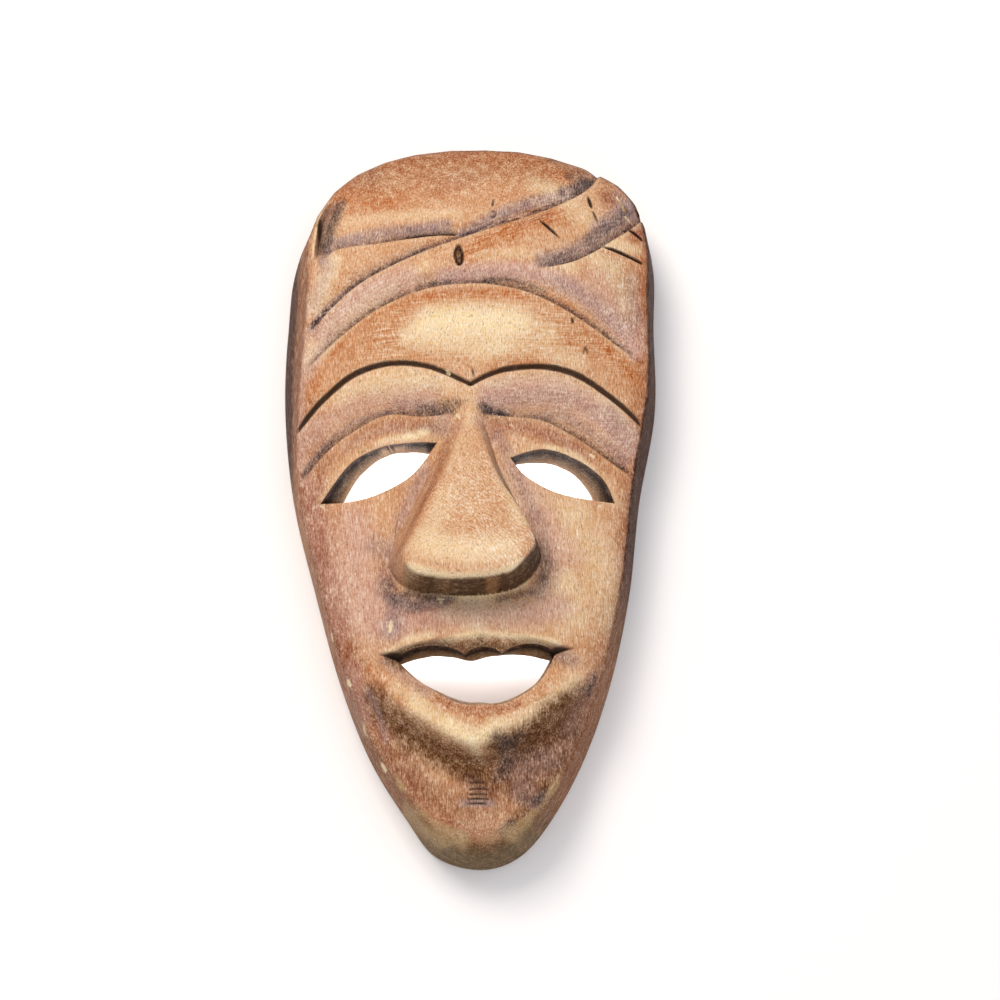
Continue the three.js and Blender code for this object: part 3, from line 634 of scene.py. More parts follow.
def addNode(tree, kind, links, output=0, **settings):
    # one shader node with its settings; links go from input names or numbers to sockets or plain values
    node = tree.nodes.new("ShaderNode" + kind)
    for key, value in settings.items():
        setattr(node, key, value)
    for key, source in links.items():
        if isinstance(source, bpy.types.NodeSocket):
            tree.links.new(source, node.inputs[key])
        else:
            node.inputs[key].default_value = source
    return node.outputs[output]


def colourOf(hexValue):
    # sRGB hex to linear
    channels = [int(hexValue[i:i + 2], 16) / 255 for i in (1, 3, 5)]
    return [c / 12.92 if c <= 0.04045 else ((c + 0.055) / 1.055) ** 2.4 for c in channels] + [1]


# Colour on the carving, laid on as soft brush strokes in millimetres: reach to the sides, strength,
# then the points of the stroke
strokes = {}
# stain where it stayed thick and bright
strokes["orange"] = [
    (13, 0.65, (-29, 135), (-4, 140), (25, 136), (39, 130)),
    (12, 0.75, (-52, 122), (-34, 117)),
    (12, 0.3, (-21, 122), (0, 121), (16, 121)),
    (3.5, 0.6, (-17, 94), (-10, 96), (-6, 98)),
    (8, 0.75, (1, 92), (12, 99), (26, 106), (37, 111)),
    (4, 0.6, (12, 102), (24, 110), (35, 113)),
    (5.5, 0.3, (0, 86), (20, 88), (34, 88)),
    (4, 0.65, (-66, 35), (-56, 51), (-42, 63), (-24, 71), (-2, 73), (20, 73)),
    (4, 0.65, (18, 73), (36, 70), (52, 57), (68, 40)),
    (9, 0.35, (-64, 29), (-50, 47), (-30, 60), (-20, 64)),
    (13, 0.3, (52, 54), (62, 45), (70, 31)),
    (9, 0.25, (36, 56), (48, 51)),
    (6, 0.4, (8, 41), (24, 47), (40, 51)),
    (4, 0.7, (10, 19), (20, 18), (30, 16)),
    (6.5, 0.3, (36, 14), (52, 11), (62, 0)),
    (5.5, 0.3, (-41, 16), (-29, 20), (-17, 18)),
    (6.5, 0.45, (-55, -16), (-49, -22), (-47, -29)),
    (2.5, 0.6, (-7, 10), (-14, -11), (-23, -33)),
    (5, 0.7, (66, 112), (72, 92), (73, 70)),
    (2, 0.8, (-33, -39), (-31, -43)),
    (8, 0.35, (12, -58), (24, -61)),
    (4.5, 0.55, (-4, -53), (6, -54), (15, -53)),
    (6.5, 0.35, (-38, -78), (-32, -83), (-26, -87)),
    (4, 0.3, (-14, -91), (5, -96), (20, -93)),
    (5.5, 0.4, (69, 75), (69, 50)),
]
# wood rubbed light, with a painted highlight along the lower edge of the nose and painted light
# that lifts the shade below the brows and under the nose
strokes["pale"] = [
    (9, 0.95, (-16, 61), (0, 62), (18, 61)),
    (8, 0.6, (-23, 56), (-8, 54), (12, 54)),
    (6, 0.4, (24, 59), (33, 57)),
    (4, 0.3, (-51, 108), (-29, 109), (-6, 109)),
    (6, 0.45, (27, 126), (35, 123)),
    (5.5, 0.75, (-56, 90), (-59, 82), (-63, 71)),
    (6, 0.3, (52, 88), (60, 82), (64, 68)),
    (4, 0.5, (53, 99), (68, 98)),
    (8, 0.35, (41, 115), (50, 108)),
    (4, 0.4, (50, 92), (60, 88)),
    (4, 0.35, (-34, 77), (-18, 85)),
    (5, 0.3, (-67, 48), (-56, 57)),
    (4, 0.3, (4, 89), (24, 90), (42, 85)),
    (5, 0.4, (-52, 32), (-38, 38.5), (-24, 39.5), (-9, 36)),
    (5, 0.4, (-38, 34), (-20, 36)),
    (4.5, 0.55, (8, 35), (28, 38), (46, 34), (60, 24)),
    (7, 0.4, (-62, 52), (-50, 66), (-34, 76)),
    (9, 0.15, (-6, 14), (-3, 0), (1, -20)),
    (6, 0.45, (-8, -58), (4, -57), (16, -57)),
    (6, 0.35, (4, 48), (24, 51), (44, 47)),
    (12, 0.2, (36, -24), (46, -44)),
    (2.5, 1, (-25, 15), (-20, 16), (-17, 17)),
    (1.5, 0.6, (-36, 13.5), (-27, 15)),
    (2, 0.6, (31, 11), (42, 8), (50, 1)),
    (4.5, 0.35, (0, 33), (0, 20)),
    (9, 0.6, (-16, -36), (-1, -39), (14, -37)),
    (3.5, 0.8, (-22, -46), (-7, -50), (8, -50), (21, -44)),
    (6.5, 0.3, (-9, -14), (-15, -30)),
    (5.5, 0.35, (14, -2), (20, -25)),
    (1.5, 0.8, (-5, 23), (-8, 19)),
    (10.5, 0.3, (42, -19), (53, -34), (56, -58)),
    (6.5, 0.25, (28, -11), (44, -14)),
    (8, 0.55, (2, -53), (3, -64)),
    (4, 0.4, (-3, -53), (6, -53.5), (14, -53)),
    (2.5, 0.6, (-25, -68), (-14, -66.5)),
    (8, 0.4, (37, -44), (42, -58)),
    (2, 0.7, (-15, -71), (-5, -68), (3, -67), (12, -67), (26, -68), (35, -69)),
    (1.5, 0.5, (-32, -72), (-15, -70)),
    (1.5, 0.7, (1, -73), (5, -74)),
    (5.5, 0.55, (-20, -94), (-6, -103), (4, -106), (15, -102), (29, -94), (41, -83)),
    (5, 0.6, (-8, -101), (3, -107), (11, -101)),
    (3, 0.5, (1, -107), (3.5, -113)),
    (4.5, 0.35, (-28, -86), (-18, -92)),
    (6.5, 0.2, (12, -62), (35, -64)),
]
# stain where it stayed thick and dark
strokes["red"] = [
    (5.5, 0.3, (-29, 141), (0, 143)),
    (9, 0.35, (-12, 124), (0, 127)),
    (2, 0.6, (20, 105), (33, 110)),
    (4.5, 0.5, (56, 122), (64, 116), (70, 107)),
    (7, 0.5, (-66, 29), (-60, 10), (-61, -8)),
    (10.5, 0.75, (-64, -5), (-60, -33), (-54, -57), (-46, -85)),
    (6, 0.5, (-31, -48), (-27, -66)),
    (7, 0.6, (58, 120), (70, 105)),
    (4, 0.3, (28, 15), (42, 12), (56, 2)),
    (5, 0.35, (-60, 4), (-46, 15), (-33, 20), (-16, 20)),
    (8, 0.3, (-54, 124), (-40, 132)),
    (2, 0.85, (-8, 13), (-16, -11), (-27, -36)),
    (3.5, 0.5, (-28, -38), (-30, -39)),
    (8.5, 0.5, (-26, -59), (-15, -60)),
    (4, 0.35, (8, 22), (20, 20), (34, 18), (50, 10)),
    (4.5, 0.5, (65, -8), (62, -33), (56, -65)),
    (4.5, 0.5, (70, 25), (66, 0)),
    (4, 0.8, (74, 104), (75, 76), (74, 42)),
    (9, 0.6, (-37, -90), (-32, -105), (-22, -124)),
    (10.5, 0.6, (-22, -120), (-11, -133), (5, -142)),
    (12, 0.8, (16, -117), (31, -107), (43, -90)),
    (12, 0.6, (2, -122), (12, -128), (24, -124)),
    (3.5, 0.5, (-11, -91), (5, -96), (18, -93)),
    (3.5, 0.3, (-66, 107), (-67, 75), (-70, 42)),
]
# brown left in the hollow of the chin, where it is also painted shade below the lip's ridge, and
# thinly round the crown
strokes["olive"] = [
    (7.5, 0.85, (-37, -89), (-32, -95), (-24, -102), (-11, -111), (2, -117)),
    (9, 0.45, (-22, -104), (-8, -112)),
    (14, 0.22, (-40, 128), (-4, 138), (30, 134)),
    (7, 0.14, (58, 88), (66, 70)),
    (1.8, 1, (-4.9, 91.5), (-4.4, 88)),
    (6, 0.65, (15, -110), (26, -102), (34, -95), (42, -88)),
    (6, 0.45, (33, -95), (41, -90), (47, -85)),
    (5.5, 0.5, (-3, -116), (8, -120)),
    (6.5, 0.7, (12, -110), (21, -113), (29, -110)),
    (10, 0.85, (13, -111), (26, -105), (38, -96)),
    (10, 0.45, (32, -96), (40, -104), (34, -116), (22, -122)),
    (9, 0.6, (-2, -115), (14, -120)),
    (10, 0.3, (4, -130), (18, -126), (32, -116)),
    (5, 0.75, (17, -138), (26, -131), (32, -123)),
    (3.5, 0.65, (-46, -88), (-43, -99), (-36, -112)),
    (9, 0.3, (-30, -110), (-16, -124), (-4, -130)),
    (8, 0.35, (42, -100), (34, -113), (24, -119)),
    (4.5, 0.5, (-14, -142), (5, -147), (24, -140)),
]
# the thin sooty film of the recesses, and painted shade on slopes that face away from the light and
# beside and under the nose
strokes["mauve"] = [
    (4, 0.85, (-53, 99), (-39, 101), (-24, 102), (-10, 104)),
    (3.5, 0.8, (-57, 101), (-60, 91)),
    (3.5, 0.2, (-48, 81), (-28, 90), (-16, 95)),
    (3.5, 0.25, (-68, 36), (-60, 53), (-48, 64), (-28, 75)),
    (3, 0.5, (-64, 62), (-54, 73), (-42, 80), (-28, 87), (-14, 94), (-3, 100)),
    (4.5, 0.85, (-3, 99), (12, 109), (24, 115), (37, 120), (49, 128)),
    (4, 0.3, (0, 81), (20, 81), (36, 78), (48, 71), (59, 62)),
    (4, 0.4, (-20, 78), (-4, 81)),
    (5.5, 0.3, (36, 79), (52, 72), (65, 62)),
    (5.5, 0.85, (30, 88), (41, 92), (51, 100), (61, 110), (67, 119)),
    (4, 0.5, (61, 123), (68, 115)),
    (4, 0.7, (52, 106), (58, 112), (64, 119)),
    (2, 0.5, (-16, 74), (4, 75)),
    (4, 0.5, (-28, 28), (-16, 28)),
    (5, 0.3, (7, 28), (20, 30), (36, 31), (52, 25), (62, 15)),
    (3.5, 0.55, (12, 23), (22, 22), (36, 25), (50, 17), (62, 8)),
    (4, 0.5, (-18, 20), (-9, 17)),
    (4, 0.35, (56, 28), (65, 20)),
    (5, 0.35, (-50, 13), (-38, 19), (-22, 20)),
    (5, 0.35, (12, 19), (30, 18), (46, 10)),
    (6, 0.25, (-58, 88), (-63, 74)),
    (5, 0.4, (66, 84), (68, 66)),
    (2, 0.6, (-66, 5), (-56, 16), (-45, 23), (-32, 26)),
    (4, 0.4, (11, 15), (15, 10), (17, 7)),
    (4, 0.4, (15, 7), (20, -3), (25, -15)),
    (6, 0.5, (26, -19), (30, -29), (32, -40), (28, -49)),
    (6.5, 0.5, (-37, -29), (-31, -35), (-33, -48)),
    (2.5, 0.4, (-17, 2), (-27, -19), (-32, -33)),
    (4.5, 0.75, (-30, -52), (-20, -54), (-10, -53)),
    (6, 0.7, (-30, -64), (-27, -54)),
    (4, 0.45, (-32, -75), (-26, -80), (-16, -88)),
    (4.5, 0.55, (34, -72), (40, -75)),
    (2, 0.5, (-39, -86), (-35, -94), (-32, -105)),
    (2.2, 0.75, (-2, -129.4), (9, -129.8)),
    (6.5, 0.2, (51, -81), (43, -96), (35, -112)),
    (8, 0.35, (20, -117), (29, -113)),
    (6, 0.4, (20, -125), (30, -130)),
]
# where the stain has faded, and painted light that lifts the shade on the ramps of the folds and lids,
# beside the nose and under it
strokes["rose"] = [
    (8, 0.7, (-60, 62), (-50, 70), (-40, 76), (-26, 80)),
    (5, 0.5, (-66, 44), (-58, 58)),
    (5, 0.4, (-58, 88), (-64, 70)),
    (6, 0.8, (-10, 80), (4, 82), (20, 83), (36, 80), (48, 73), (59, 64), (67, 54)),
    (8, 0.4, (50, 82), (62, 72), (68, 60)),
    (7, 0.45, (-64, 18), (-50, 27), (-34, 30), (-16, 31)),
    (9, 0.75, (8, 31), (24, 34), (40, 33), (54, 25), (64, 14)),
    (5, 0.5, (-12, 24), (-6, 18)),
    (5, 0.4, (4, 20), (12, 12)),
    (9, 0.3, (-62, -8), (-57, -34), (-50, -60)),
    (12, 0.6, (-46, -20), (-42, -46), (-36, -62)),
    (6, 0.4, (-18, 2), (-26, -18)),
    (9, 0.5, (18, 0), (28, -16), (38, -34)),
    (8, 0.6, (-30, -62), (-12, -60), (4, -59), (22, -59), (36, -54)),
    (6, 0.4, (-46, -78), (-42, -96)),
    (4, 0.5, (-68, 60), (-70, 30), (-66, 0)),
]
# the thick sooty film, and painted shade in the pits beside the top of the nose and beside and under
# the nose
strokes["slate"] = [
    (4, 0.75, (-54, 117), (-57, 108), (-60, 98)),
    (2.5, 0.5, (-64, 63), (-60, 68)),
    (1.5, 0.6, (6, 79), (18, 79), (30, 75)),
    (1, 0.5, (-20, 77), (-8, 79)),
    (4, 0.6, (39, 123), (49, 129)),
    (3, 0.5, (-20, 147), (-8, 148.5)),
    (4, 0.35, (34, 141), (46, 134)),
    (3.5, 0.5, (41, 131), (50, 130)),
    (3.5, 0.45, (49, 100), (58, 108), (65, 116)),
    (2.5, 0.45, (32, 89), (43, 93)),
    (3.5, 0.6, (-20, 26), (-12, 27), (-5, 28)),
    (3.5, 0.55, (-15, 22), (-8, 25)),
    (3, 0.8, (5, 27), (9, 25.5), (14, 25)),
    (3.5, 0.55, (6, 25), (14, 22)),
    (1.5, 0.5, (-67, 3), (-60, 11), (-55, 16)),
    (3.5, 0.45, (29, -29), (30, -37), (28, -45)),
    (2.5, 0.5, (12, -52), (24, -49)),
    (2.5, 0.6, (-25, -49), (-11, -52), (-6, -52)),
    (5, 0.45, (-32, -46), (-27, -53), (-21, -55)),
    (2.5, 0.7, (49, -80), (46, -86)),
    (4.5, 0.6, (12, -106), (15, -111), (12, -119)),
    (5, 0.3, (1, -121), (6, -127)),
    (4, 0.35, (17, -107), (20, -105)),
    (3.5, 0.5, (20, -128), (31, -130)),
    (3, 0.7, (13, -140), (17, -138)),
    (3, 0.6, (27, -128), (30, -126)),
    (1.5, 0.6, (-11, -141), (-14, -140)),
    (2, 0.5, (-2, -146), (8, -147)),
    (2, 0.5, (-31, -74), (-26, -76)),
]
# wood with no stain left
strokes["bare"] = [
    (1.5, 1, (-64, 114), (-63, 108)),
    (1, 0.9, (64, 116), (62, 120)),
    (1, 0.8, (-44, 9), (-38, 12)),
    (2.2, 0.6, (-25, -128), (-17, -138), (-8, -144)),
]
# where each of the finer textures shows: slanting scratches
strokes["scratched"] = [
    (16, 1, (-6, -14), (4, -28), (14, -38)),
    (10, 0.8, (6, -2), (14, -20), (22, -36)),
    (9, 0.6, (-4, 0), (2, -16)),
]
# streaks across the face
strokes["combed"] = [
    (22, 1, (-30, 55), (0, 58), (30, 56)),
    (12, 0.7, (40, 60), (60, 48)),
    (12, 0.5, (-50, 36), (-20, 36)),
    (12, 0.6, (14, 34), (44, 32), (62, 16)),
]
# streaks along the folds of the wrap
strokes["swept"] = [
    (9, 1, (2, 98), (20, 106), (40, 116)),
    (7, 0.8, (-62, 62), (-46, 74), (-20, 86), (4, 88)),
    (8, 0.35, (30, 88), (52, 104), (66, 118)),
    (6, 0.5, (-50, 92), (-10, 96)),
]
# dots
strokes["speckled"] = [
    (24, 1, (-30, 130), (0, 134), (24, 130)),
    (12, 0.8, (-54, 82), (-60, 66)),
    (14, 0.8, (56, 86), (66, 64)),
    (16, 0.5, (-62, -10), (-52, -60), (-36, -104)),
    (8, 0.7, (-20, -90), (5, -98), (26, -88)),
    (12, 0.5, (16, -118), (34, -104), (26, -130)),
    (16, 0.4, (44, -30), (56, -70)),
]


def brushed(name, x, y):
    left = np.ones(x.shape)
    for reach, strength, *points in strokes[name]:
        away = gapTo(linePoints(points, 3), x, y, reach) / reach
        left *= 1 - strength * np.clip(1 - away ** 2, 0, 1) ** 1.5
    return 1 - left


def covered(under, over):
    return 1 - (1 - under) * (1 - over)


# Film and painted shade, and wear and painted highlights beside a line, in millimetres from it: below 0
# is the high side of a fold and the lower side of a brow line. foldAt, browAt and lidAt are where an edge
# is palest, rubbed and painted as a highlight, and how wide.
wear = {
    "filmStart": -0.9, "filmAt": 0.5, "filmSpread": (0.7, 1.1),   # the film lies at the foot of a step
    "foldAt": (-1.7, 0.7),
    "browAt": (-1.9, 0.6), "browWearAndHighlight": 0.35,
    "lidAt": (1, 0.9), "lidWearAndHighlight": 0.4,
    # the high side faces the light: the film and the painted shade are taken off it
    "rubbedFrom": (-0.3, -1.1), "rubbedTo": (-7, -2), "rubbedOff": 0.85,   # film gone from the high side
    "farOff": 5.0,         # distance to dark lines and chips where there are none
}


def lineWear(x, y, depth, layer):
    # film and painted shade in the folds, dark lines and chips, and the edges beside them that are rubbed
    # pale and painted as highlights; ink and chip are distances in mm, below 0 inside the dark line or
    # the chip
    worn, rubbed, film = (np.zeros(x.shape) for _ in range(3))
    ink, chip = (np.full(x.shape, wear["farOff"]) for _ in range(2))
    for fold in folds:
        distance, share = nearest(fold["points"], x, y, 12)
        ends = foldEnds(fold, share)
        # sooty film and painted shade on the ramp of each fold
        ramp = np.clip(1 - distance / fold["rampFilmAndShadeReach"], 0, 1) * smoothStep(wear["filmStart"], 0, distance)
        layer["mauve"] = covered(layer["mauve"], fold["rampFilmAndShade"] * ends * ramp)
        start, end = fold["ink"]
        darkness = (start * (1 - share) + end * share) * ends
        above, below = wear["filmSpread"]
        spread = np.where(distance > wear["filmAt"], below, above)
        film = np.maximum(film, darkness * peakAt(wear["filmAt"], spread, distance))
        highSide = smoothStep(*wear["rubbedFrom"], distance) * smoothStep(*wear["rubbedTo"], distance)
        rubbed = np.maximum(rubbed, ends * highSide)
        worn = np.maximum(worn, fold["worn"] * ends * peakAt(*wear["foldAt"], distance))
    for cut in cuts:
        distance, share = nearest(cut["points"], x, y, 6)
        ends = fadedEnds(share, *cut["fade"])
        swell = 0.65 + 0.35 * np.sin(math.pi * share)   # widest in the middle
        inside = np.abs(distance) - 0.5 * cut["width"] * ends * swell + 0.5 * (1 - ends)
        if cut["dark"]:
            ink = np.minimum(ink, inside + 1 - cut["dark"])
        else:
            chip = np.minimum(chip, inside)
        if cut["width"] == browWidth:
            worn = np.maximum(worn, wear["browWearAndHighlight"] * ends * peakAt(*wear["browAt"], distance))
    for name in ("left eye", "right eye"):
        distance = gapTo(linePoints(holes[name]["frontUpper"]), x, y, 4)
        worn = np.maximum(worn, wear["lidWearAndHighlight"] * peakAt(*wear["lidAt"], distance) * (depth < 0.5))
    for name in ("mauve", "slate"):
        layer[name] *= 1 - wear["rubbedOff"] * rubbed
    layer["slate"] = covered(layer["slate"], film)
    layer.update(worn=worn, ink=ink, chip=chip + 3 * smoothStep(4, 12, depth))


def noseShades(x, y, layer):
    # painted shade on the sides and underside of the nose, with darker patches under it that are partly dark
    # stain: the shader keeps these to the places between its foot and its front; the shade under the nose
    # starts lower down towards the left, and the darkest is in patches across
    lower = smoothStep(-38, -46, y + 0.35 * np.clip(-x - 14, 0, 20))
    patches = smoothStep(-0.3, 0.3, softNoise(x, 0 * x, 6, seed=21) + 0.4 * smoothStep(6, 18, x))
    layer["noseSide"] = noseShare(x, y)[0]
    layer["noseUnder"] = lower
    darkest = covered(lower, (x > 8) * smoothStep(-24, -34, y)) * smoothStep(-28, -18, x)
    layer["noseDark"] = patches * darkest
    layer["noseLeft"] = (1 - lower) * (x < 0)
    layer["noseRight"] = (x > 0) * smoothStep(24, -24, y)


def paintOf(points, normals):
    # the amount of each colour on every vertex, and how far the dark lines and chips are from it
    x, y, z = points.T
    depth = faceHeight(x, y) - z
    # outwards is to the sides along the face, and away from the middle line's ends round both ends
    outX, outY = x - 2, y - np.clip(y, -100, 90)
    outX = np.where(np.abs(outY) > 0, outX, np.sign(outX))
    outward = (normals[:, 0] * outX + normals[:, 1] * outY) / np.maximum(np.hypot(outX, outY), 1e-6)
    rim = splinePoints([knot[:2] for knot in block["rim"]], 240, closed=True)
    fromRim = gapTo(rim, x, y, 20, closed=True)
    wall = smoothStep(0.15, 0.5, outward) * smoothStep(0.3, 1.5, depth) * smoothStep(17, 15, fromRim)
    layer = {name: brushed(name, x, y) for name in strokes}
    lineWear(x, y, depth, layer)
    layer["ink"] = np.minimum(layer["ink"] + 3 * wall, wear["farOff"])   # the lines end at the side walls
    noseShades(x, y, layer)
    roll = lipRoll(x, y)
    # painted shade on the underside of the upper lip, from its crest down to the mouth's edge
    layer["shadeUnderLip"] = roll * (roll < 1) * (depth < 1) * (1 - 0.5 * smoothStep(10, 22, x))

    # painted shade: a darker brown band along the outer edge of the face, where it rounds away from the light
    layer["edge"] = smoothStep(14, 5, fromRim) * (1 - wall) * (depth < 1) * smoothStep(-140, -100, y)
    # the side walls are painted darker brown: partly their stain, partly painted shade
    layer["wall"] = wall * np.where(x < 0, 1 - 0.5 * smoothStep(20, -10, y) * smoothStep(-120, -100, y), 1)
    # painted shade on the underside of the chin, which faces away from the light
    layer["chinUndersideShade"] = smoothStep(0.6, 0.95, outward) * wall * smoothStep(-122, -144, y)
    # painted shade: the side walls darken towards the floor
    lowOnLeft = smoothStep(30, 14, z) * smoothStep(-20, 30, y)
    lowOnRight = 0.9 * smoothStep(46, 34, z) * smoothStep(-90, -10, y)
    layer["low"] = wall * (lowOnLeft + (lowOnRight - lowOnLeft) * smoothStep(-45, 45, x))
    # along the edge of the chin the stain has come off in patches
    chinEdge = peakAt(0.7, 0.25, outward) * smoothStep(-110, -122, y)
    patches = 0.5 + 0.45 * softNoise(x, y, 5, seed=31) + 0.15 * smoothStep(8, 20, np.abs(x - 4))
    layer["bare"] = covered(layer["bare"], np.clip(chinEdge * patches, 0, 1))
    # painted shade that darkens the surface the deeper it lies under the face: on the walls of the eyes and
    # the mouth
    layer["openingShade"] = np.clip(depth, 0, 20) * (1 - wall)

    # the hollow and the flat of the rim are plain wood: none of the colours of the face
    inHollow = (z < roofHeight(x, y) + 0.5) & (fromRim > block["rimWidth"] - 0.5)
    back = np.where(inHollow | (z < 0.5), 1.0, 0.0)
    for name in layer:
        layer[name] = layer[name] * (1 - back) + (wear["farOff"] * back if name in ("ink", "chip") else 0)
    layer["back"] = back
    layer["rim"] = back * (fromRim < block["rimWidth"] + 2)
    return layer


normals = np.empty(3 * len(mask.data.vertices))
mask.data.vertices.foreach_get("normal", normals)
paint = paintOf(maskPoints, normals.reshape(-1, 3))
for name, amounts in paint.items():
    mask.data.attributes.new(name, "FLOAT", "POINT").data.foreach_set("value", amounts.astype(np.float32))
print("colour strokes laid on")

# Stained and waxed hardwood, carved by hand: a warm brown stain with fine pores along the length of
# the mask, rubbed pale on the high places and sooty in the recesses, with a soft low shine. Painted shade
# and painted highlights are mixed into these colours in places.
stainedCarvedWood = {
    "wood": "#d2a580",
    "ior": 1.5,
    "roughness": 0.6,
    "unevenness": 0.08,    # how far the roughness drifts
    "shine": 0.12,
    "poreDepth": 0.0003,   # metres
    "bump": 0.6,
    # size of a lump in millimetres across X, Y and Z, turn in degrees, detail, noise read as -1 and as 1;
    # a pixel of the photo is 0.4 mm: real pores and grain may be finer, but are drawn about that wide to show
    "textures": {
        "mottle": ((13, 16, 13), 0, 5, 0.3, 0.7),
        "drift": ((3.2, 4.5, 3.2), 0, 6, 0.3, 0.7),
        "speck": ((0.8, 1.1, 0.8), 0, 2, 0.32, 0.68),
        "grain": ((0.34, 3.4, 0.34), 3, 3, 0.32, 0.68),
        "pores": ((0.45, 1.3, 0.45), 0, 1, 0.5, 0.72),
        "flecks": ((0.8, 0.8, 0.8), 0, 1, 0.55, 0.8),
        "combed": ((7, 0.6, 7), 3, 4, 0.34, 0.66),
        "swept": ((6, 0.6, 6), 24, 4, 0.34, 0.66),
        "scratched": ((0.45, 9, 0.45), 42, 2, 0.42, 0.62),
    },
    # texture, attribute that it follows or none, how much it darkens where the texture is high
    "tones": [
        ("mottle", None, 0.08), ("drift", None, 0.1), ("speck", None, 0.16), ("grain", None, 0.38),
        ("combed", "combed", 0.3), ("swept", "swept", 0.3), ("scratched", "scratched", 0.35),
        ("speck", "speckled", 0.14), ("drift", "speckled", 0.14),
    ],
    # attribute, colour, amount where it starts and where it is full, cover, share broken up
    "layers": [
        # the edge band is painted shade
        ("edge", "#9c654a", 0, 1, 0.55, 0.4),
        ("orange", "#b96f3a", 0, 1, 0.85, 0.25),
        ("red", "#9a5f47", 0, 1, 0.85, 0.25),
        ("pale", "#f3e0ba", 0, 1, 1, 0.15),
        ("olive", "#694528", 0, 1, 1, 0.2),
        ("rose", "#cba69b", 0, 1, 1, 0.15),
        # mauve and slate are sooty film and painted shade
        ("mauve", "#a38a86", 0, 1, 1, 0.25),
        ("slate", "#4f4444", 0, 1, 1, 0.35),
        # painted shade under the upper lip
        ("shadeUnderLip", "#6f4e33", 0.2, 0.8, 0.85, 0.3),
        # painted shade on the sides and underside of the nose, partly dark stain
        ("noseLeft", "#b07a55", 0, 1, 0.4, 0.2),
        ("noseRight", "#5b4134", 0, 1, 0.8, 0.2),
        ("noseUnder", "#8a5f36", 0, 1, 0.92, 0.2),
        ("noseDark", "#2c1d14", 0, 1, 0.75, 0.3),
        # pale edges beside steps and cuts: rubbed wear and painted highlight
        ("worn", "#ecd3ad", 0, 1, 0.85, 0.4),
        # side walls: stain and painted shade; below them painted shade towards the floor
        ("wall", "#8c5a3b", 0, 1, 0.9, 0.2),
        ("low", "#46271c", 0.1, 0.8, 0.95, 0.12),
        # painted shade under the chin
        ("chinUndersideShade", "#6b593a", 0, 1, 0.9, 0.3),
        ("bare", "#b99b72", 0.25, 0.7, 0.85, 0.4),
        # painted shade in the openings, darker with depth
        ("openingShade", "#553b2b", 0.5, 0.9, 1, 0),
        ("openingShade", "#22140c", 1.8, 3.5, 0.97, 0.35),
        ("openingShade", "#4a2a13", 5, 9, 0.45, 1),
        ("back", "#a98560", 0, 1, 1, 0),
        ("rim", "#7c5a40", 0, 1, 0.6, 0.6),
    ],
    # how far specks and streaks fray the edges of the colours, beside the drift
    "fraying": {"speck": 0.6, "combed": 1.5, "swept": 1.5},
    "noseFoot": 0.04,      # share of the way up the nose where the shade of its sides is full
    "noseFront": 0.85,     # and from where it fades towards the front
    # texture, colour, cover on the face, what the side walls add: they have fewer pale flecks
    "dots": [("pores", "#5a3523", 0.5, 0), ("flecks", "#f6dfb8", 0.22, -0.14)],
    # attribute with the distance in mm, below 0 inside the line or chip, colour, raggedness
    "marks": [("ink", "#38271f", 0.14), ("chip", "#ecd9b6", 0.4)],
    "markEdge": (0.35, -0.3),
    "markCover": 0.92,
}


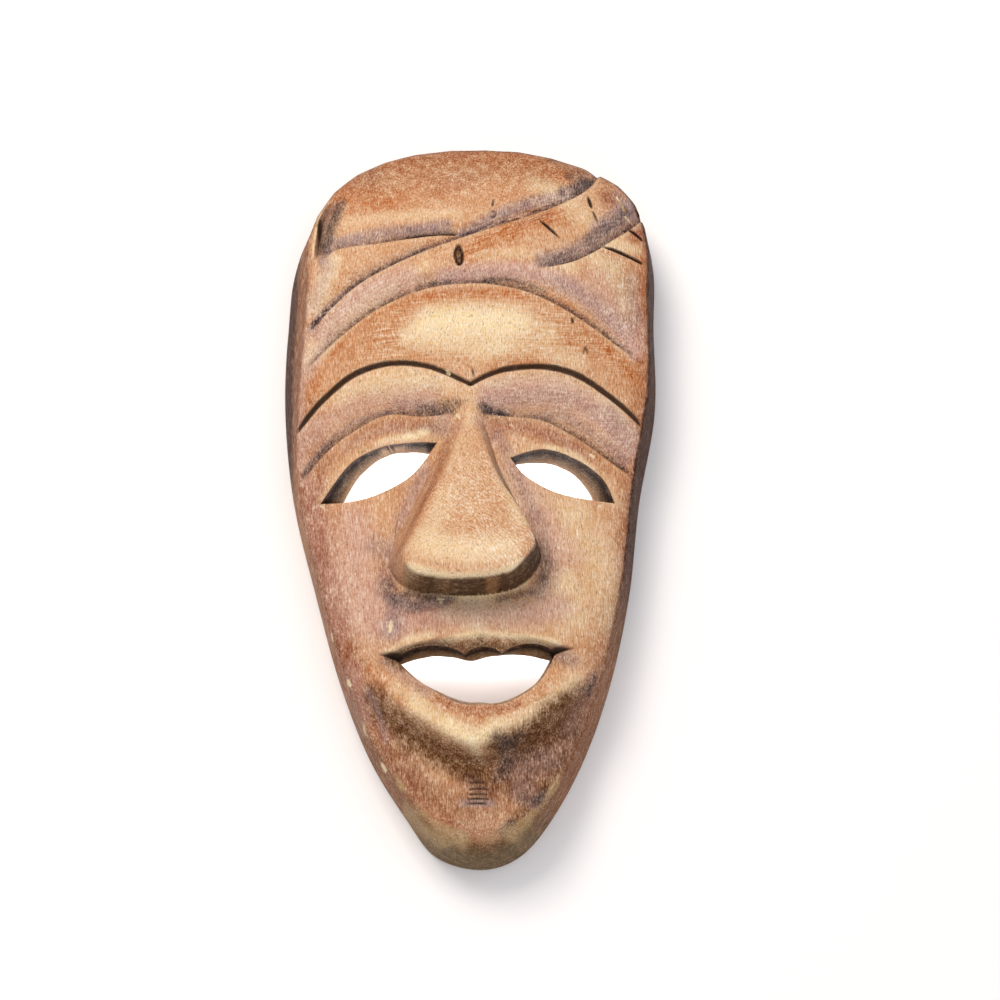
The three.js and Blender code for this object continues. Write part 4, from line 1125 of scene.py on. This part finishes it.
def makeFinish(look, painted):
    finish = bpy.data.materials.new("stained carved wood")
    finish.use_nodes = True
    tree = finish.node_tree
    shader = tree.nodes["Principled BSDF"]
    times, timesPlus = {"operation": "MULTIPLY"}, {"operation": "MULTIPLY_ADD"}
    mixed = {"output": 2, "data_type": "RGBA"}
    place = addNode(tree, "TexCoord", {}, output="Object")
    texture, amount = {}, {}
    for name, (size, turn, detail, low, high) in look["textures"].items():
        links = {"Vector": place, "Rotation": (0, 0, math.radians(turn)), "Scale": [a / 1000 for a in size]}
        scaled = addNode(tree, "Mapping", links, vector_type="TEXTURE")
        lumpy = addNode(tree, "TexNoise", {"Vector": scaled, "Scale": 1, "Detail": detail})
        texture[name] = addNode(tree, "MapRange", {0: lumpy, 1: low, 2: high, 3: -1, 4: 1})
    for name in painted:
        amount[name] = addNode(tree, "Attribute", {}, output="Fac", attribute_name=name)

    fray = look["fraying"]
    links = {0: texture["speck"], 1: fray["speck"], 2: texture["drift"]}
    ragged = addNode(tree, "Math", links, **timesPlus)
    for name in ("combed", "swept"):
        streaks = addNode(tree, "Math", {0: amount[name], 1: texture[name]}, **times)
        ragged = addNode(tree, "Math", {0: streaks, 1: fray[name], 2: ragged}, **timesPlus)
    noseSide, foot, front = amount["noseSide"], look["noseFoot"], look["noseFront"]
    belowFront = addNode(tree, "MapRange", {0: noseSide, 1: 1, 2: front, 3: 0, 4: 1})
    onSide = addNode(tree, "MapRange", {0: noseSide, 1: 0, 2: foot, 3: 0, 4: belowFront})

    colour = colourOf(look["wood"])
    for name, hexValue, low, high, cover, broken in look["layers"]:
        share = addNode(tree, "Math", {0: ragged, 1: broken, 2: 1}, **timesPlus)
        laid = addNode(tree, "Math", {0: amount[name], 1: share}, **times)
        laid = addNode(tree, "MapRange", {0: laid, 1: low, 2: high, 3: 0, 4: cover})
        if name.startswith("nose"):
            laid = addNode(tree, "Math", {0: laid, 1: onSide}, **times)
        colour = addNode(tree, "Mix", {0: laid, 6: colour, 7: colourOf(hexValue)}, **mixed)

    # a higher power darkens and reddens the colour, as thicker stain does
    power = 1
    for name, where, share in look["tones"]:
        if where:
            share = addNode(tree, "Math", {0: amount[where], 1: share}, **times)
        power = addNode(tree, "Math", {0: texture[name], 1: share, 2: power}, **timesPlus)
    colour = addNode(tree, "Gamma", {"Color": colour, "Gamma": power})
    for name, hexValue, cover, onWall in look["dots"]:
        if onWall:
            cover = addNode(tree, "Math", {0: amount["wall"], 1: onWall, 2: cover}, **timesPlus)
        laid = addNode(tree, "Math", {0: texture[name], 1: cover}, use_clamp=True, **times)
        colour = addNode(tree, "Mix", {0: laid, 6: colour, 7: colourOf(hexValue)}, **mixed)
    outer, inner = look["markEdge"]
    for name, hexValue, rough in look["marks"]:
        away = addNode(tree, "Math", {0: ragged, 1: rough, 2: amount[name]}, **timesPlus)
        links = {0: away, 1: outer, 2: inner, 3: 0, 4: look["markCover"]}
        laid = addNode(tree, "MapRange", links)
        colour = addNode(tree, "Mix", {0: laid, 6: colour, 7: colourOf(hexValue)}, **mixed)
    tree.links.new(colour, shader.inputs["Base Color"])

    shader.inputs["IOR"].default_value = look["ior"]
    shader.inputs["Specular IOR Level"].default_value = look["shine"]
    links = {0: texture["drift"], 1: look["unevenness"], 2: look["roughness"]}
    tree.links.new(addNode(tree, "Math", links, **timesPlus), shader.inputs["Roughness"])
    links = {0: texture["pores"], 1: -0.6, 2: texture["grain"]}   # pores are pits in the grain
    height = addNode(tree, "Math", links, **timesPlus)
    links = {"Height": height, "Strength": look["bump"], "Distance": look["poreDepth"]}
    tree.links.new(addNode(tree, "Bump", links), shader.inputs["Normal"])
    return finish


mask.data.materials.clear()
mask.data.materials.append(makeFinish(stainedCarvedWood, paint))
print("finish made")


# Floor, light and camera. The floor is matt white paper: too rough to mirror the mask, so it takes
# only a soft shadow.
stage = {
    "floorSize": 6, "floorColour": "#f3f5fa", "floorRoughness": 0.9,
    "room": "#f6f4f6", "roomLight": 0.45,
}
bpy.ops.mesh.primitive_plane_add(size=stage["floorSize"], location=(0, 0, cadLow[2]))
floor = bpy.context.object
floor.name = "paleFloor"
paper = bpy.data.materials.new("matt white paper")
paper.use_nodes = True
paperShader = paper.node_tree.nodes["Principled BSDF"]
paperShader.inputs["Base Color"].default_value = colourOf(stage["floorColour"])
paperShader.inputs["Roughness"].default_value = stage["floorRoughness"]
floor.data.materials.append(paper)

lights = [
    # name, place, aims at, side of the soft box, power in watts, colour
    ("warmTop", (-0.4, 0.62, 1.15), (0, 0, 0.03), 0.6, 13, "#fff2e2"),
    ("softAbove", (0.2, 0.0, 1.5), (0, 0, 0.03), 1.4, 6.6, "#fffcfa"),
    ("fromChin", (0.1, -1.1, 0.7), (0, 0, 0.03), 0.9, 3.2, "#fff3e6"),
    # lights the floor in the hollow, seen through the eyes and the mouth
    ("insideGlow", (0.0, -0.02, 0.012), (0, -0.02, 0), 0.09, 0.1, "#ffffff"),
]


def aimAt(thing, place, target):
    away = np.array(place, float) - np.array(target, float)
    flat = math.hypot(away[0], away[1])
    thing.location = place
    thing.rotation_euler = (math.atan2(flat, away[2]), 0, math.atan2(away[1], away[0]) + math.pi / 2)


for name, place, target, side, watts, colour in lights:
    lamp = bpy.data.lights.new(name, "AREA")
    lamp.size, lamp.energy, lamp.color = side, watts, colourOf(colour)[:3]
    lampObject = bpy.data.objects.new(name, lamp)
    bpy.context.scene.collection.objects.link(lampObject)
    aimAt(lampObject, place, target)
    lampObject.visible_camera = False

world = bpy.data.worlds.new("pale room")
bpy.context.scene.world = world
world.use_nodes = True
background = world.node_tree.nodes["Background"]
background.inputs["Color"].default_value = colourOf(stage["room"])
background.inputs["Strength"].default_value = stage["roomLight"]
bpy.context.scene.view_settings.view_transform = "Standard"

# The view: from 18 degrees off the vertical towards the chin, 0.9 m away
view = {"tilt": 18, "distance": 0.9, "target": (0.0122, -0.0075, 0.03), "lens": 81.5, "sensor": 36}
camera = bpy.data.objects.new("camera", bpy.data.cameras.new("camera"))
bpy.context.scene.collection.objects.link(camera)
camera.data.lens, camera.data.sensor_width = view["lens"], view["sensor"]
tilt = math.radians(view["tilt"])
targetX, targetY, targetZ = view["target"]
camera.rotation_euler = (tilt, 0, 0)
camera.location = (
    targetX,
    targetY - view["distance"] * math.sin(tilt),
    targetZ + view["distance"] * math.cos(tilt),
)
bpy.context.scene.camera = camera
print("floor, light and camera set")
